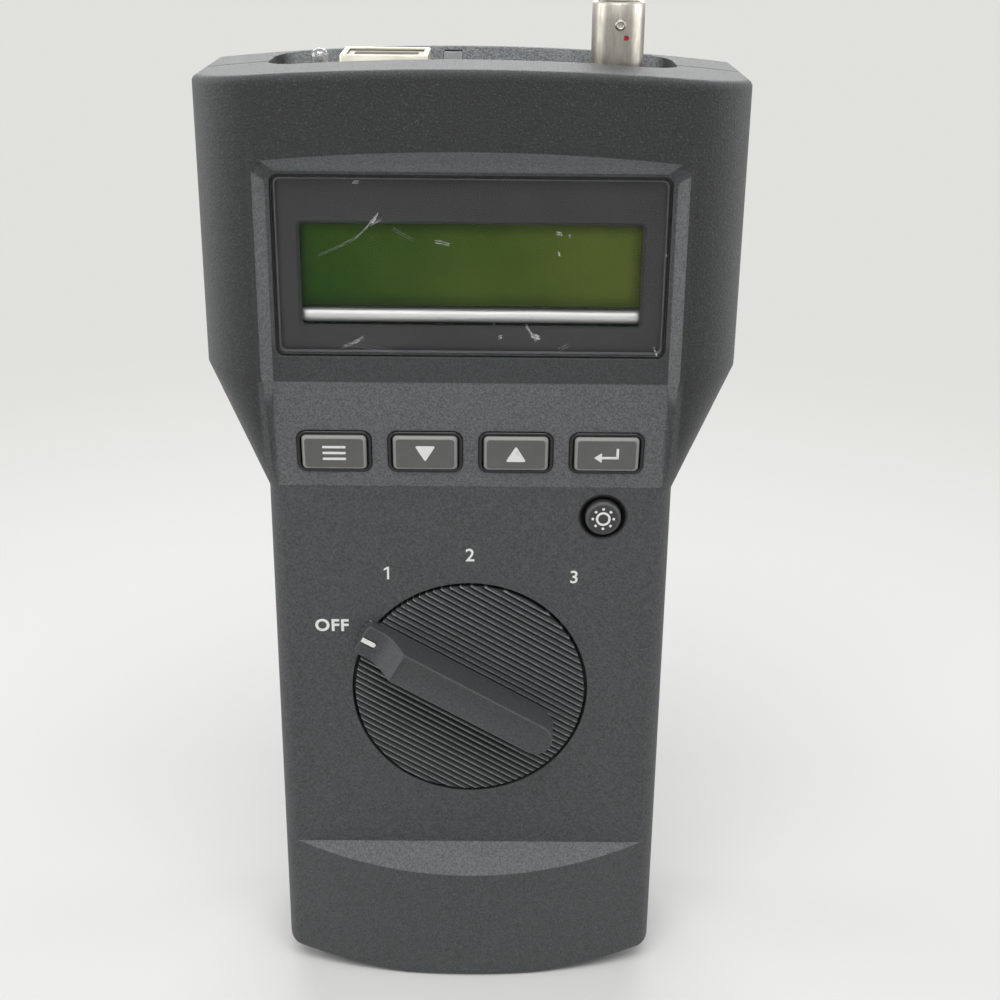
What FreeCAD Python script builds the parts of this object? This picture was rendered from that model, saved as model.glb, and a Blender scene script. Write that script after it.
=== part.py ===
import FreeCAD, Part
import Sketcher
import math
import os

from FreeCAD import Placement, Rotation, Vector

# Handheld network cable tester, standing upright on its arched lower end.
# Frame: X to the right, Y from the front face to the rear face, Z up along the
# length.  The origin is under the middle of the bounding box, on the ground.

doc = FreeCAD.newDocument("cable_tester")
sheet = doc.addObject("Spreadsheet::Sheet", "d")
sheet.Label = "d"

# Driving dimensions, in millimetres and degrees.
SIZES = {
    # outline of the case, seen from the front
    "case_depth": 41.8,
    "body_length": 189.5,
    "head_width": 100.0,
    "handle_width": 77.6,
    "shoulder_low": 110.4,
    "shoulder_high": 134.4,
    "shoulder_low_radius": 14.0,
    "shoulder_high_radius": 16.0,
    "top_radius": 463.0,
    "top_corner_radius": 2.0,
    "bottom_radius": 165.0,
    "bottom_corner_radius": 3.0,
    "foot_width": 26.0,
    "rear_edge_radius": 1.8,
    "end_edge_radius": 1.4,
    "side_trim": 0.02,
    "ring_share": 0.98,
    "wall": 2.5,
    "fit_gap": 0.05,
    "hole_gap": 0.1,
    "seam_height": 3.0,
    "seam_groove": 0.5,
    # crowned front: how far each crest stands in front of the knob face
    "head_rise": 8.1,
    "head_crown_radius": 266.0,
    "head_crown_half": 37.7,
    "bulge_rise": 5.1,
    "bulge_crown_radius": 130.0,
    "bulge_crown_half": 36.4,
    "bulge_top": 30.9,
    "crown_foot": 96.0,
    # recessed front: display face, key ramp, knob face
    "display_step": 3.1,
    "ramp_low": 111.2,
    "ramp_high": 132.9,
    "recess_top": 171.5,
    "recess_half": 36.4,
    "recess_draft": 41.0,
    "display_corner": 3.0,
    # display
    "lens_width": 70.6,
    "lens_height": 32.5,
    "lens_thick": 1.8,
    "lens_centre": 154.4,
    "lens_proud": 0.2,
    "lens_corner": 1.2,
    "window_corner": 1.0,
    "lens_gap": 0.35,
    "lens_ledge": 2.0,
    "mask_thick": 0.2,
    "window_width": 62.8,
    "window_height": 19.4,
    "window_centre": 152.8,
    "mask_gap": 0.35,
    "frame_rim": 0.6,
    "frame_width": 69.0,
    "frame_height": 31.0,
    "frame_thick": 1.0,
    "glass_width": 66.0,
    "glass_height": 17.6,
    "glass_thick": 2.6,
    "glass_centre": 154.9,
    "light_thick": 3.0,
    "light_bar_length": 60.0,
    "light_bar_gap": 0.3,
    "backlight_rim": 1.0,
    "display_board_width": 80.0,
    "display_board_height": 36.0,
    "display_screw_inset": 2.4,
    "display_screw_length": 3.5,
    "board_thick": 1.6,
    # keys
    "key_width": 12.2,
    "key_height": 7.2,
    "key_corner": 0.9,
    "key_pitch": 17.15,
    "key_centre": 118.6,
    "key_proud": 0.9,
    "key_travel": 1.0,
    "key_gap": 0.2,
    "key_flange": 0.7,
    "key_flange_thick": 0.9,
    "surround_width": 14.2,
    "surround_height": 8.8,
    "surround_depth": 1.2,
    "surround_proud": 0.35,
    "surround_corner": 1.8,
    "surround_gap": 0.1,
    "pad_thick": 0.9,
    "pad_gap": 0.1,
    "key_post_radius": 1.2,
    "key_post_inset": 1.9,
    "key_board_width": 64.0,
    "key_board_height": 17.0,
    "light_key_x": 25.6,
    "light_key_centre": 105.0,
    "light_key_radius": 3.45,
    "light_key_recess": 4.8,
    "light_key_depth": 0.9,
    "light_switch_size": 6.0,
    "light_switch_plunger": 1.7,
    "light_switch_rise": 1.5,
    # selector knob
    "knob_centre": 67.1,
    "knob_radius": 23.0,
    "knob_ring_gap": 0.7,
    "knob_pocket": 3.0,
    "knob_floor": 2.0,
    "knob_gap": 0.3,
    "knob_proud": 0.3,
    "knob_turn": 60.0,
    "grip_width": 6.7,
    "grip_rise": 6.8,
    "grip_tail": 18.7,
    "grip_head": 16.5,
    "pointer_reach": 24.9,
    "pointer_rise": 2.3,
    "pointer_blend": 3.4,
    "mark_width": 1.0,
    "mark_length": 3.2,
    "mark_depth": 0.4,
    "shaft_radius": 4.0,
    "shaft_gap": 0.06,
    "rotor_radius": 16.0,
    "rotor_thick": 2.9,
    "wiper_reach": 2.0,
    "wiper_width": 2.4,
    "wiper_inner": 7.0,
    "wiper_step": 3.5,
    "wiper_foot": 3.0,
    "wiper_blade": 0.4,
    "detent_width": 8.0,
    "detent_height": 5.5,
    "detent_reach": 3.0,
    "detent_gap": 0.35,
    # boards
    "main_board_width": 66.0,
    "main_board_low": 19.5,
    "main_board_high": 180.5,
    "main_board_face": 10.7,
    "standoff_radius": 2.8,
    "standoff_side": 29.5,
    "standoff_top_right": 12.0,
    "standoff_inset": 4.0,
    "standoff_drop": 8.0,
    "board_screw_radius": 1.0,
    "board_screw_head": 1.9,
    "board_screw_head_thick": 1.2,
    "board_screw_length": 4.5,
    "processor_width": 20.0,
    "processor_thick": 2.6,
    "processor_x": -12.0,
    "processor_up": 30.0,
    "memory_width": 14.0,
    "memory_height": 9.0,
    "memory_thick": 2.2,
    "memory_x": 14.0,
    "memory_up": 38.0,
    "pulse_width": 10.0,
    "pulse_height": 16.0,
    "pulse_thick": 2.4,
    "pulse_x": 16.0,
    "pulse_up": 12.0,
    "crystal_width": 11.0,
    "crystal_height": 4.6,
    "crystal_thick": 3.6,
    "crystal_x": -12.0,
    "crystal_up": 18.0,
    "capacitor_radius": 4.0,
    "capacitor_length": 9.0,
    "capacitor_x": -24.0,
    "capacitor_up": 8.0,
    # connector recess in the top end
    "recess_length": 74.4,
    "recess_depth": 22.0,
    "recess_corner": 7.0,
    "recess_wall": 2.0,
    "recess_floor": 183.5,
    "connector_y": 6.4,
    "panel_thick": 2.0,
    "panel_gap": 0.15,
    "tab_width": 3.7,
    "tab_thick": 2.4,
    "tab_x": -3.7,
    "tab_top": 189.9,
    "jack_x": -16.1,
    "jack_width": 16.0,
    "jack_thick": 13.5,
    "jack_length": 21.0,
    "jack_top": 189.7,
    "jack_sheet": 0.3,
    "socket_width": 11.8,
    "socket_thick": 6.8,
    "socket_depth": 13.0,
    "latch_width": 6.2,
    "latch_thick": 2.2,
    "socket_shift": 0.6,
    "contact_pitch": 1.02,
    "contact_wire": 0.45,
    "contact_reach": 2.2,
    "contact_drop": 2.0,
    "contact_length": 9.0,
    "coax_x": 26.5,
    "coax_radius": 4.82,
    "coax_bore": 4.1,
    "coax_top": 198.9,
    "coax_lug_drop": 3.8,
    "coax_lug_radius": 1.0,
    "coax_lug_reach": 0.9,
    "coax_flange_radius": 7.2,
    "coax_flange_thick": 1.6,
    "coax_thread_radius": 4.7,
    "coax_thread_length": 9.0,
    "coax_nut_width": 12.7,
    "coax_nut_thick": 3.0,
    "coax_washer_thick": 0.8,
    "coax_core_radius": 2.3,
    "coax_pin_radius": 1.1,
    "coax_pin_bore": 0.7,
    "coax_pin_drop": 4.9,
    "coax_pin_depth": 4.1,
    "coax_core_drop": 4.5,
    "indicator_x": -28.3,
    "indicator_radius": 1.6,
    "indicator_top": 190.1,
    "indicator_tail": 4.0,
    "indicator_flange": 0.5,
    "indicator_flange_thick": 2.5,
    # batteries and their door
    "cell_radius": 7.15,
    "cell_length": 50.0,
    "cell_side_gap": 0.7,
    "cell_end_gap": 1.0,
    "cell_door_gap": 0.9,
    "cell_button_radius": 2.7,
    "cell_button_rise": 1.0,
    "cell_seat_gap": 0.2,
    "cell_lift": 4.0,
    "bay_low": 20.0,
    "bay_side_gap": 0.5,
    "bay_wall": 3.2,
    "bay_floor_thick": 1.6,
    "door_thick": 2.2,
    "door_lap": 2.4,
    "door_head": 10.0,
    "door_seat": 1.8,
    "door_corner": 3.0,
    "door_rib": 0.6,
    "door_gap": 0.3,
    "door_groove_length": 24.0,
    "door_groove_width": 1.2,
    "door_groove_pitch": 2.6,
    "door_groove_drop": 18.0,
    "door_screw_sink": 1.3,
    "door_screw_length": 8.0,
    "door_post_length": 9.0,
    "spring_blade": 0.5,
    "spring_width": 8.0,
    "spring_height": 9.0,
    "spring_shift": 2.5,
    "spring_rise": 3.2,
    "plate_thick": 0.6,
    # screws
    "screw_radius": 1.4,
    "screw_hole_gap": 0.06,
    "screw_head_radius": 2.6,
    "screw_head_thick": 1.8,
    "screw_length": 13.0,
    "boss_radius": 4.0,
    "screw_well_gap": 0.4,
    "head_boss_x": 43.0,
    "head_boss_high": 177.3,
    "mid_boss_x": 39.4,
    "mid_boss_high": 128.0,
    "low_boss_x": 27.0,
    "low_boss_high": 12.6,
}

for row, (alias, value) in enumerate(SIZES.items(), start=1):
    sheet.set("A%d" % row, alias)
    sheet.set("B%d" % row, str(value))
    sheet.setAlias("B%d" % row, alias)
doc.recompute()


def size(alias):
    """Value of one driving dimension."""
    return float(sheet.get(alias))


def work_out(text):
    """Number that an expression over the sheet gives."""
    return float(sheet.evalExpression(text))


# Planes that many sub-parts share, as expressions over the sheet.
FRONT = "(-d.case_depth / 2)"
REAR = "(d.case_depth / 2)"
KNOB_FACE = "(%s + d.head_rise)" % FRONT
DISPLAY_FACE = "(%s - d.display_step)" % KNOB_FACE
BOARD_FRONT = "(%s + d.main_board_face)" % KNOB_FACE
BOARD_REAR = "(%s + d.board_thick)" % BOARD_FRONT
RAMP_ANGLE = "atan2(d.display_step; d.ramp_high - d.ramp_low)"

# The battery bay is sized around its row of cells, measured in from the door.
CELLS = 4
CELL_PITCH = "(2 * d.cell_radius + d.cell_side_gap)"
CELL_Y = "(%s - d.door_thick - d.cell_door_gap - d.cell_radius)" % REAR
BAY_HALF = "(%d * %s / 2 + d.bay_side_gap)" % (CELLS, CELL_PITCH)
BAY_HIGH = "(d.bay_low + d.cell_lift + d.cell_length + d.cell_end_gap)"
BAY_FLOOR = "(%s - d.cell_radius - d.cell_seat_gap)" % CELL_Y

SUBPARTS = []


def keep(thing, label):
    """Give a finished sub-part its name and list it for writing."""
    thing.Label = label
    SUBPARTS.append(thing)
    return thing


def bind(thing, **sizes):
    """Tie properties of an object to expressions over the sheet."""
    for name, text in sizes.items():
        thing.setExpression(name.replace("__", "."), text)
    return thing


def place(thing, x="0", y="0", z="0"):
    """Tie the place of an object to the sheet."""
    return bind(thing, Placement__Base__x=x, Placement__Base__y=y, Placement__Base__z=z)


# ---------------------------------------------------------------- Part helpers

def box(name, wide, deep, high, x, y, z):
    """Box centred on x, from y rearwards and from z upwards."""
    block = doc.addObject("Part::Box", name)
    bind(block, Length=wide, Width=deep, Height=high)
    return place(block, "%s - (%s) / 2" % (x, wide), y, z)


def rod(name, radius, length, x, y, z, along="Z"):
    """Cylinder that starts at a point and runs up, rearwards or to the right."""
    turn = {
        "Z": Rotation(),
        "Y": Rotation(Vector(1, 0, 0), -90),
        "X": Rotation(Vector(0, 1, 0), 90),
    }
    bar = doc.addObject("Part::Cylinder", name)
    bar.Placement.Rotation = turn[along]
    bind(bar, Radius=radius, Height=length)
    return place(bar, x, y, z)


def fuse(name, pieces):
    joined = doc.addObject("Part::MultiFuse", name)
    joined.Shapes = pieces
    return joined


def cut(name, base, tools):
    """Base less one tool or several."""
    tool = tools[0] if len(tools) == 1 else fuse(name + "_tools", tools)
    rest = doc.addObject("Part::Cut", name)
    rest.Base = base
    rest.Tool = tool
    return rest


def check_direction(body, before, grows):
    """A pad has to add to the body and a pocket has to take from it."""
    after = body.Shape.Volume
    if (after > before) != grows:
        raise RuntimeError("%s: a feature points the wrong way" % body.Name)


# ---------------------------------------------------------- PartDesign helpers

def new_body(name):
    return doc.addObject("PartDesign::Body", name)


def sketch_on(body, role, offset="0"):
    """Sketch on an origin plane of its own body, moved along its normal."""
    plane = [f for f in body.Origin.OriginFeatures if f.Role == role][0]
    sketch = body.newObject("Sketcher::SketchObject", body.Name + "_sketch")
    sketch.AttachmentSupport = [(plane, "")]
    sketch.MapMode = "FlatFace"
    sketch.setExpression("AttachmentOffset.Base.z", offset)
    return sketch


def pin_point(sketch, element, vertex, x, y):
    """Fix one sketch point at expressions for its two coordinates."""
    for kind, text in (("DistanceX", x), ("DistanceY", y)):
        number = work_out(text)
        index = sketch.addConstraint(Sketcher.Constraint(kind, -1, 1, element, vertex, number))
        sketch.setExpression("Constraints[%d]" % index, text)


def polygon(sketch, points):
    """Closed outline through points given as pairs of expressions."""
    spots = [Vector(work_out(x), work_out(y), 0) for x, y in points]
    count = len(spots)
    first = sketch.GeometryCount
    for i in range(count):
        sketch.addGeometry(Part.LineSegment(spots[i], spots[(i + 1) % count]), False)
    for i in range(count):
        after = first + (i + 1) % count
        sketch.addConstraint(Sketcher.Constraint("Coincident", first + i, 2, after, 1))
    for i in range(count):
        pin_point(sketch, first + i, 1, *points[i])
    return sketch


def rectangle(sketch, wide, high, x="0", y="0"):
    """Rectangle of a given size about a centre."""
    left = "%s - (%s) / 2" % (x, wide)
    right = "%s + (%s) / 2" % (x, wide)
    low = "%s - (%s) / 2" % (y, high)
    top = "%s + (%s) / 2" % (y, high)
    return polygon(sketch, [(left, low), (right, low), (right, top), (left, top)])


def circle(sketch, radius, x="0", y="0"):
    middle = Vector(work_out(x), work_out(y), 0)
    ring = Part.Circle(middle, Vector(0, 0, 1), work_out(radius))
    element = sketch.addGeometry(ring, False)
    pin_point(sketch, element, 3, x, y)
    index = sketch.addConstraint(Sketcher.Constraint("Radius", element, work_out(radius)))
    sketch.setExpression("Constraints[%d]" % index, radius)
    return sketch


def pad(body, sketch, length, backwards=False):
    before = body.Shape.Volume if body.Tip else 0.0
    feature = body.newObject("PartDesign::Pad", body.Name + "_pad")
    feature.Profile = sketch
    feature.Reversed = backwards
    bind(feature, Length=length)
    doc.recompute()
    check_direction(body, before, True)
    return feature


def pocket(body, sketch, length, backwards=False):
    before = body.Shape.Volume
    feature = body.newObject("PartDesign::Pocket", body.Name + "_pocket")
    feature.Profile = sketch
    feature.Reversed = backwards
    bind(feature, Length=length)
    doc.recompute()
    check_direction(body, before, False)
    return feature


def revolve(body, sketch):
    """Full turn of a sketch about its own vertical axis."""
    feature = body.newObject("PartDesign::Revolution", body.Name + "_turned")
    feature.Profile = sketch
    feature.ReferenceAxis = (sketch, ["V_Axis"])
    feature.Angle = 360
    doc.recompute()
    return feature


def soften(body, radius, choose, kind="Fillet"):
    """Fillet or chamfer the edges of the body that a test picks."""
    shape = body.Tip.Shape
    names = ["Edge%d" % (i + 1) for i, edge in enumerate(shape.Edges) if choose(edge)]
    if not names:
        raise RuntimeError("%s: no edge to soften" % body.Name)
    feature = body.newObject("PartDesign::" + kind, body.Name + "_" + kind.lower())
    feature.Base = (body.Tip if feature.BaseFeature is None else feature.BaseFeature, names)
    bind(feature, **{"Radius" if kind == "Fillet" else "Size": radius})
    doc.recompute()
    return feature


def along_y(edge):
    a, b = edge.Vertexes[0].Point, edge.Vertexes[-1].Point
    return abs(a.x - b.x) < 1e-6 and abs(a.z - b.z) < 1e-6 and abs(a.y - b.y) > 1e-6


def on_plane_y(level):
    """Test for edges that lie in one plane across Y."""
    def test(edge):
        return all(abs(v.Point.y - level) < 1e-6 for v in edge.Vertexes)
    return test


# ------------------------------------------------------- solids for the case

def line(a, b):
    return Part.LineSegment(a, b).toShape()


def arc(a, middle, b):
    return Part.Arc(a, middle, b).toShape()


def prism(edges, travel):
    """Solid swept by the face inside closed edges."""
    return Part.Face(Part.Wire(edges)).extrude(travel)


def slab(points, travel):
    """Solid swept by a polygon."""
    ring = Part.makePolygon(points + [points[0]])
    return Part.Face(ring).extrude(travel)


def arch(radius, x):
    """Rise of an arc of the radius at a distance x from its crest."""
    return radius - math.sqrt(radius * radius - x * x)


def round_corners(solid, corners, direction):
    """Round the edges along a direction that pass the given corners."""
    for x, z, radius in corners:
        picked = []
        for edge in solid.Edges:
            a, b = edge.Vertexes[0].Point, edge.Vertexes[-1].Point
            if abs((b - a).normalize().dot(direction)) < 0.999:
                continue
            if abs(a.x - x) < 1e-4 and abs(a.z - z) < 1e-4:
                picked.append(edge)
        if radius > 0.2:
            solid = solid.makeFillet(radius, picked)
    return solid


def outline_prism(inset, y0, y1):
    """Front outline of the case, moved inwards by inset, between two depths."""
    head = size("head_width") / 2 - inset
    handle = size("handle_width") / 2 - inset
    foot = size("foot_width") / 2
    low_radius = size("bottom_radius") - inset
    top_radius = size("top_radius") - inset
    slope = math.atan2(
        (size("head_width") - size("handle_width")) / 2,
        size("shoulder_high") - size("shoulder_low"),
    )
    lift = inset * math.tan(slope / 2)
    low = size("shoulder_low") + lift
    high = size("shoulder_high") + lift
    foot_rise = arch(low_radius, foot)
    corner = inset + arch(low_radius, handle) - foot_rise
    crest = size("body_length") - inset
    shelf = crest - arch(top_radius, head)

    def spot(x, z):
        return Vector(x, y0, z)

    mid_low = (foot + handle) / 2
    mid_rise = inset + arch(low_radius, mid_low) - foot_rise
    edges = [
        line(spot(-foot, inset), spot(foot, inset)),
        arc(spot(foot, inset), spot(mid_low, mid_rise), spot(handle, corner)),
        line(spot(handle, corner), spot(handle, low)),
        line(spot(handle, low), spot(head, high)),
        line(spot(head, high), spot(head, shelf)),
        arc(spot(head, shelf), spot(0, crest), spot(-head, shelf)),
        line(spot(-head, shelf), spot(-head, high)),
        line(spot(-head, high), spot(-handle, low)),
        line(spot(-handle, low), spot(-handle, corner)),
        arc(spot(-handle, corner), spot(-mid_low, mid_rise), spot(-foot, inset)),
    ]
    solid = prism(edges, Vector(0, y1 - y0, 0))
    corners = []
    for side in (1, -1):
        corners += [
            (side * handle, low, size("shoulder_low_radius") + inset),
            (side * head, high, size("shoulder_high_radius") - inset),
            (side * head, shelf, size("top_corner_radius") - inset),
            (side * handle, corner, size("bottom_corner_radius") - inset),
        ]
    return round_corners(solid, corners, Vector(0, 1, 0))


def soft_rear(solid, inset):
    """Round the rear edge of an outline prism."""
    level = size("case_depth") / 2 - inset
    radius = size("rear_edge_radius") - inset
    if radius < 0.3:
        return solid
    return solid.makeFillet(radius, [e for e in solid.Edges if on_plane_y(level)(e)])


def soft_ends(solid):
    """Round the front edges where the crowned face meets the two ends."""
    radius = size("end_edge_radius")
    shelf = size("body_length") - arch(size("top_radius"), size("head_width") / 2)
    low_rise = arch(size("bottom_radius"), size("handle_width") / 2)
    picked = []
    for edge in solid.Edges:
        spots = edge.Vertexes + [Part.Vertex(edge.valueAt(
            (edge.FirstParameter + edge.LastParameter) / 2))]
        at_top = all(v.Z > shelf - 0.5 - size("top_corner_radius") for v in spots)
        at_foot = all(v.Z < low_rise + size("bottom_corner_radius") for v in spots)
        ahead = all(v.Y < 0 for v in spots)
        across = max(v.Y for v in spots) - min(v.Y for v in spots) < 13
        if ahead and across and (at_top or at_foot):
            picked.append(edge)
    return solid.makeFillet(radius, picked)


def crown_ring(inset, width, crest, radius, half, z):
    """Cross-section at a height: crowned front, rounded front edges, straight sides and rear."""
    # inner forms: a hair wider than their outline, whose own sides then bound them
    side = width / 2 - inset * size("ring_share")
    front = crest + inset
    rear = size("case_depth") / 2 - inset
    bend = radius - inset
    half = min(half * bend / radius, side - 0.3)
    edge_y = front + arch(bend, half)
    tilt = math.asin(half / bend)
    turn = (side - half) / (1 - math.sin(tilt))
    centre = edge_y + turn * math.cos(tilt)
    middle = (tilt + math.pi / 2) / 2
    mid_x = side - turn + turn * math.sin(middle)
    mid_y = centre - turn * math.cos(middle)

    def spot(x, y):
        return Vector(x, y, z)

    return Part.Wire([
        arc(spot(-half, edge_y), spot(0, front), spot(half, edge_y)),
        arc(spot(half, edge_y), spot(mid_x, mid_y), spot(side, centre)),
        line(spot(side, centre), spot(side, rear)),
        line(spot(side, rear), spot(-side, rear)),
        line(spot(-side, rear), spot(-side, centre)),
        arc(spot(-side, centre), spot(-mid_x, mid_y), spot(-half, edge_y)),
    ])


def side_slab(points):
    """Slab across the whole width from a profile of (y, z) points."""
    reach = size("head_width")
    ring = [Vector(-reach, y, z) for y, z in points]
    return slab(ring, Vector(2 * reach, 0, 0))


def recess_cutter(inset):
    """Space in front of the display face, the key ramp and the knob face."""
    knob = work_out(KNOB_FACE) + inset
    display = work_out(DISPLAY_FACE) + inset
    draft = math.tan(math.radians(size("recess_draft")))
    shift = inset * math.tan(math.radians(work_out(RAMP_ANGLE)) / 2)
    outer = work_out(FRONT) - size("display_step")
    grow = inset * (1 / math.cos(math.radians(size("recess_draft"))) - draft)
    wide = size("head_crown_half") + grow
    foot = size("recess_half") + grow
    top = size("recess_top") + grow
    high = top + draft * (display - outer)
    levels = [
        (size("crown_foot"), knob, wide),
        (size("ramp_low") + shift, knob, wide),
        (size("ramp_high") + shift, display, foot),
        (high, display, foot),
    ]
    rings = []
    for z, floor, half in levels:
        far = half + draft * (floor - outer)
        corners = [
            Vector(-half, floor, z),
            Vector(half, floor, z),
            Vector(far, outer, z),
            Vector(-far, outer, z),
        ]
        rings.append(Part.makePolygon(corners + [corners[0]]))
    # the wall above the display leans outwards as the side walls do
    ceiling = side_slab([
        (outer, size("crown_foot")),
        (knob, size("crown_foot")),
        (knob, top - draft * (knob - display)),
        (outer, high),
    ])
    space = Part.makeLoft(rings, True, True).common(ceiling)
    slanted = []
    for edge in space.Edges:
        ends = [v.Point for v in edge.Vertexes]
        beside = all(abs(spot.x) > foot - 0.01 and spot.z > top - 0.01 for spot in ends)
        if beside and abs(ends[0].y - ends[-1].y) > 0.01:
            slanted.append(edge)
    return space.makeFillet(size("display_corner") + inset, slanted)


def body_form(inset):
    """Closed form of the whole case, moved inwards by inset."""
    front = work_out(FRONT)
    rear = work_out(REAR)
    knob = work_out(KNOB_FACE)
    outline = soft_rear(outline_prism(inset, front - 1, rear - inset), inset)
    high = size("body_length") + 1
    slope = math.atan2(
        (size("head_width") - size("handle_width")) / 2,
        size("shoulder_high") - size("shoulder_low"),
    )
    lift = inset * math.tan(slope / 2)

    def handle_ring(z):
        crest = knob - size("bulge_rise")
        return crown_ring(
            inset, size("handle_width"), crest, size("bulge_crown_radius"), size("bulge_crown_half"), z,
        )

    def head_ring(z):
        return crown_ring(
            inset, size("head_width"), front, size("head_crown_radius"), size("head_crown_half"), z,
        )

    # head: its crown and rounded edges narrow along the shoulders into those of the handle
    rings = [
        handle_ring(size("crown_foot")),
        handle_ring(size("shoulder_low") + lift),
        head_ring(size("shoulder_high") + lift),
        head_ring(high),
    ]
    head = outline.common(Part.makeLoft(rings, True, True))
    # handle: flat knob face with a crowned bulge at its foot
    reach = size("bulge_rise") + 2
    bend = size("bulge_top") - inset * math.tan(math.pi / 8)
    profile = side_slab([
        (rear + 1, -1),
        (knob + inset - reach, -1),
        (knob + inset - reach, bend - reach),
        (knob + inset, bend),
        (knob + inset, size("ramp_low")),
        (rear + 1, size("ramp_low")),
    ])
    section = Part.makeLoft([handle_ring(-1), handle_ring(high)], True, True)
    handle = outline.common(section).common(profile)
    whole = head.fuse(handle).cut(recess_cutter(inset))
    return whole.removeSplitter()


def rounded_box(wide, high, depth, corner, centre):
    """Box with rounded upright corners, its depth along Y, about a centre."""
    block = Part.makeBox(wide, depth, high)
    block.translate(Vector(-wide / 2, 0, -high / 2))
    if corner > 0.05:
        edges = [e for e in block.Edges if along_y(e)]
        block = block.makeFillet(corner, edges)
    block.translate(centre)
    return block


def stadium(grow, z0, z1):
    """Plan outline of the connector recess, grown, between two heights."""
    wide = size("recess_length") + 2 * grow
    deep = size("recess_depth") + 2 * grow
    block = Part.makeBox(wide, deep, z1 - z0)
    block.translate(Vector(-wide / 2, size("connector_y") - deep / 2, z0))
    edges = [e for e in block.Edges if abs(e.Vertexes[0].Z - e.Vertexes[-1].Z) > 1e-6]
    return block.makeFillet(size("recess_corner") + grow, edges)


def peg(radius, x, z, y0, y1):
    """Cylinder along Y between two depths."""
    return Part.makeCylinder(radius, y1 - y0, Vector(x, y0, z), Vector(0, 1, 0))


def ramp_frame(x):
    """Placement on the key ramp, with -Y pointing straight out of it."""
    along = (size("key_centre") - size("ramp_low")) / (size("ramp_high") - size("ramp_low"))
    y = work_out(KNOB_FACE) - along * size("display_step")
    return Placement(Vector(x, y, size("key_centre")), Rotation(Vector(1, 0, 0), work_out(RAMP_ANGLE)))


KEY_NAMES = ("setup", "down", "up", "enter")


def key_spots():
    """X of each rectangular key, from left to right."""
    pitch = size("key_pitch")
    middle = (len(KEY_NAMES) - 1) / 2
    return [(name, (i - middle) * pitch) for i, name in enumerate(KEY_NAMES)]


def key_levels():
    """Depths behind the ramp's surface of the key flanges, pad and board."""
    flange_front = size("wall") + size("fit_gap")
    flange_rear = flange_front + size("key_flange_thick")
    pad_front = flange_rear + size("key_travel") + size("pad_gap")
    board_front = pad_front + size("pad_thick")
    return {
        "flange_front": flange_front,
        "flange_rear": flange_rear,
        "pad_front": pad_front,
        "board_front": board_front,
    }


def key_post_spots():
    """Posts of the key board between the keys, in the ramp's own frame."""
    high = size("key_board_height") / 2 - size("key_post_inset")
    return [(sx * size("key_pitch"), sz * high) for sx in (-1, 1) for sz in (-1, 1)]


def boss_spots():
    """Places of the case screws, as (x, z)."""
    spots = []
    for side in (-1, 1):
        spots.append((side * size("low_boss_x"), size("low_boss_high")))
        spots.append((side * size("mid_boss_x"), size("mid_boss_high")))
        spots.append((side * size("head_boss_x"), size("head_boss_high")))
    return spots


def screw_seat():
    """Depth at which the heads of the case screws sit."""
    return size("seam_height") + size("boss_radius")


def standoff_spots():
    """Places of the main board's standoffs, as (x, z)."""
    side = size("standoff_side")
    low = size("main_board_low") + size("standoff_inset")
    high = size("main_board_high") - size("standoff_inset")
    middle = size("light_key_centre") - size("standoff_drop")
    spots = [(s * side, z) for s in (-1, 1) for z in (low, middle)]
    return spots + [(-side, high), (size("standoff_top_right"), high)]


def display_screw_spots():
    """Places of the display board's screws, as (x, z)."""
    dx = size("display_board_width") / 2 - size("display_screw_inset")
    dz = size("display_board_height") / 2 - size("display_screw_inset")
    return [(sx * dx, size("lens_centre") + sz * dz) for sx in (-1, 1) for sz in (-1, 1)]


def lcd_levels():
    """Depths of the display stack, front to rear."""
    lens_front = work_out(DISPLAY_FACE) - size("lens_proud")
    lens_rear = lens_front + size("lens_thick")
    frame_front = work_out(DISPLAY_FACE) + size("wall")
    frame_rear = frame_front + size("frame_thick")
    glass_rear = frame_rear + size("glass_thick")
    light_rear = glass_rear + size("light_thick")
    return {
        "lens_front": lens_front,
        "lens_rear": lens_rear,
        "frame_front": frame_front,
        "frame_rear": frame_rear,
        "glass_rear": glass_rear,
        "light_rear": light_rear,
        "board_rear": light_rear + size("board_thick"),
    }


def case_solid():
    """Walls of the closed case with the connector recess let into its top."""
    high = size("body_length") + 1
    # the rounded top edge runs out to nothing at the sides, so they are trimmed flat
    reach = size("head_width") / 2 - size("side_trim")
    trim = Part.makeBox(2 * reach, 2 * reach, 2 * high, Vector(-reach, -reach, -high))
    outer = soft_ends(body_form(0)).common(trim)
    inner = body_form(size("wall"))
    collar = stadium(size("recess_wall"), size("recess_floor"), high).common(outer)
    pit = stadium(0, size("recess_floor") - 1, high)
    seam = size("seam_height")
    half = size("seam_groove") / 2
    ring = outline_prism(0, seam - half, seam + half).cut(
        outline_prism(size("seam_groove"), seam - half, seam + half)
    )
    return outer.cut(inner).fuse(collar).cut(pit).cut(ring)


def half_space(y0, y1):
    """Block that keeps what lies between two depths."""
    reach = size("head_width")
    block = Part.makeBox(2 * reach, y1 - y0, 2 * size("body_length"))
    block.translate(Vector(-reach, y0, -size("body_length") / 2))
    return block


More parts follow.
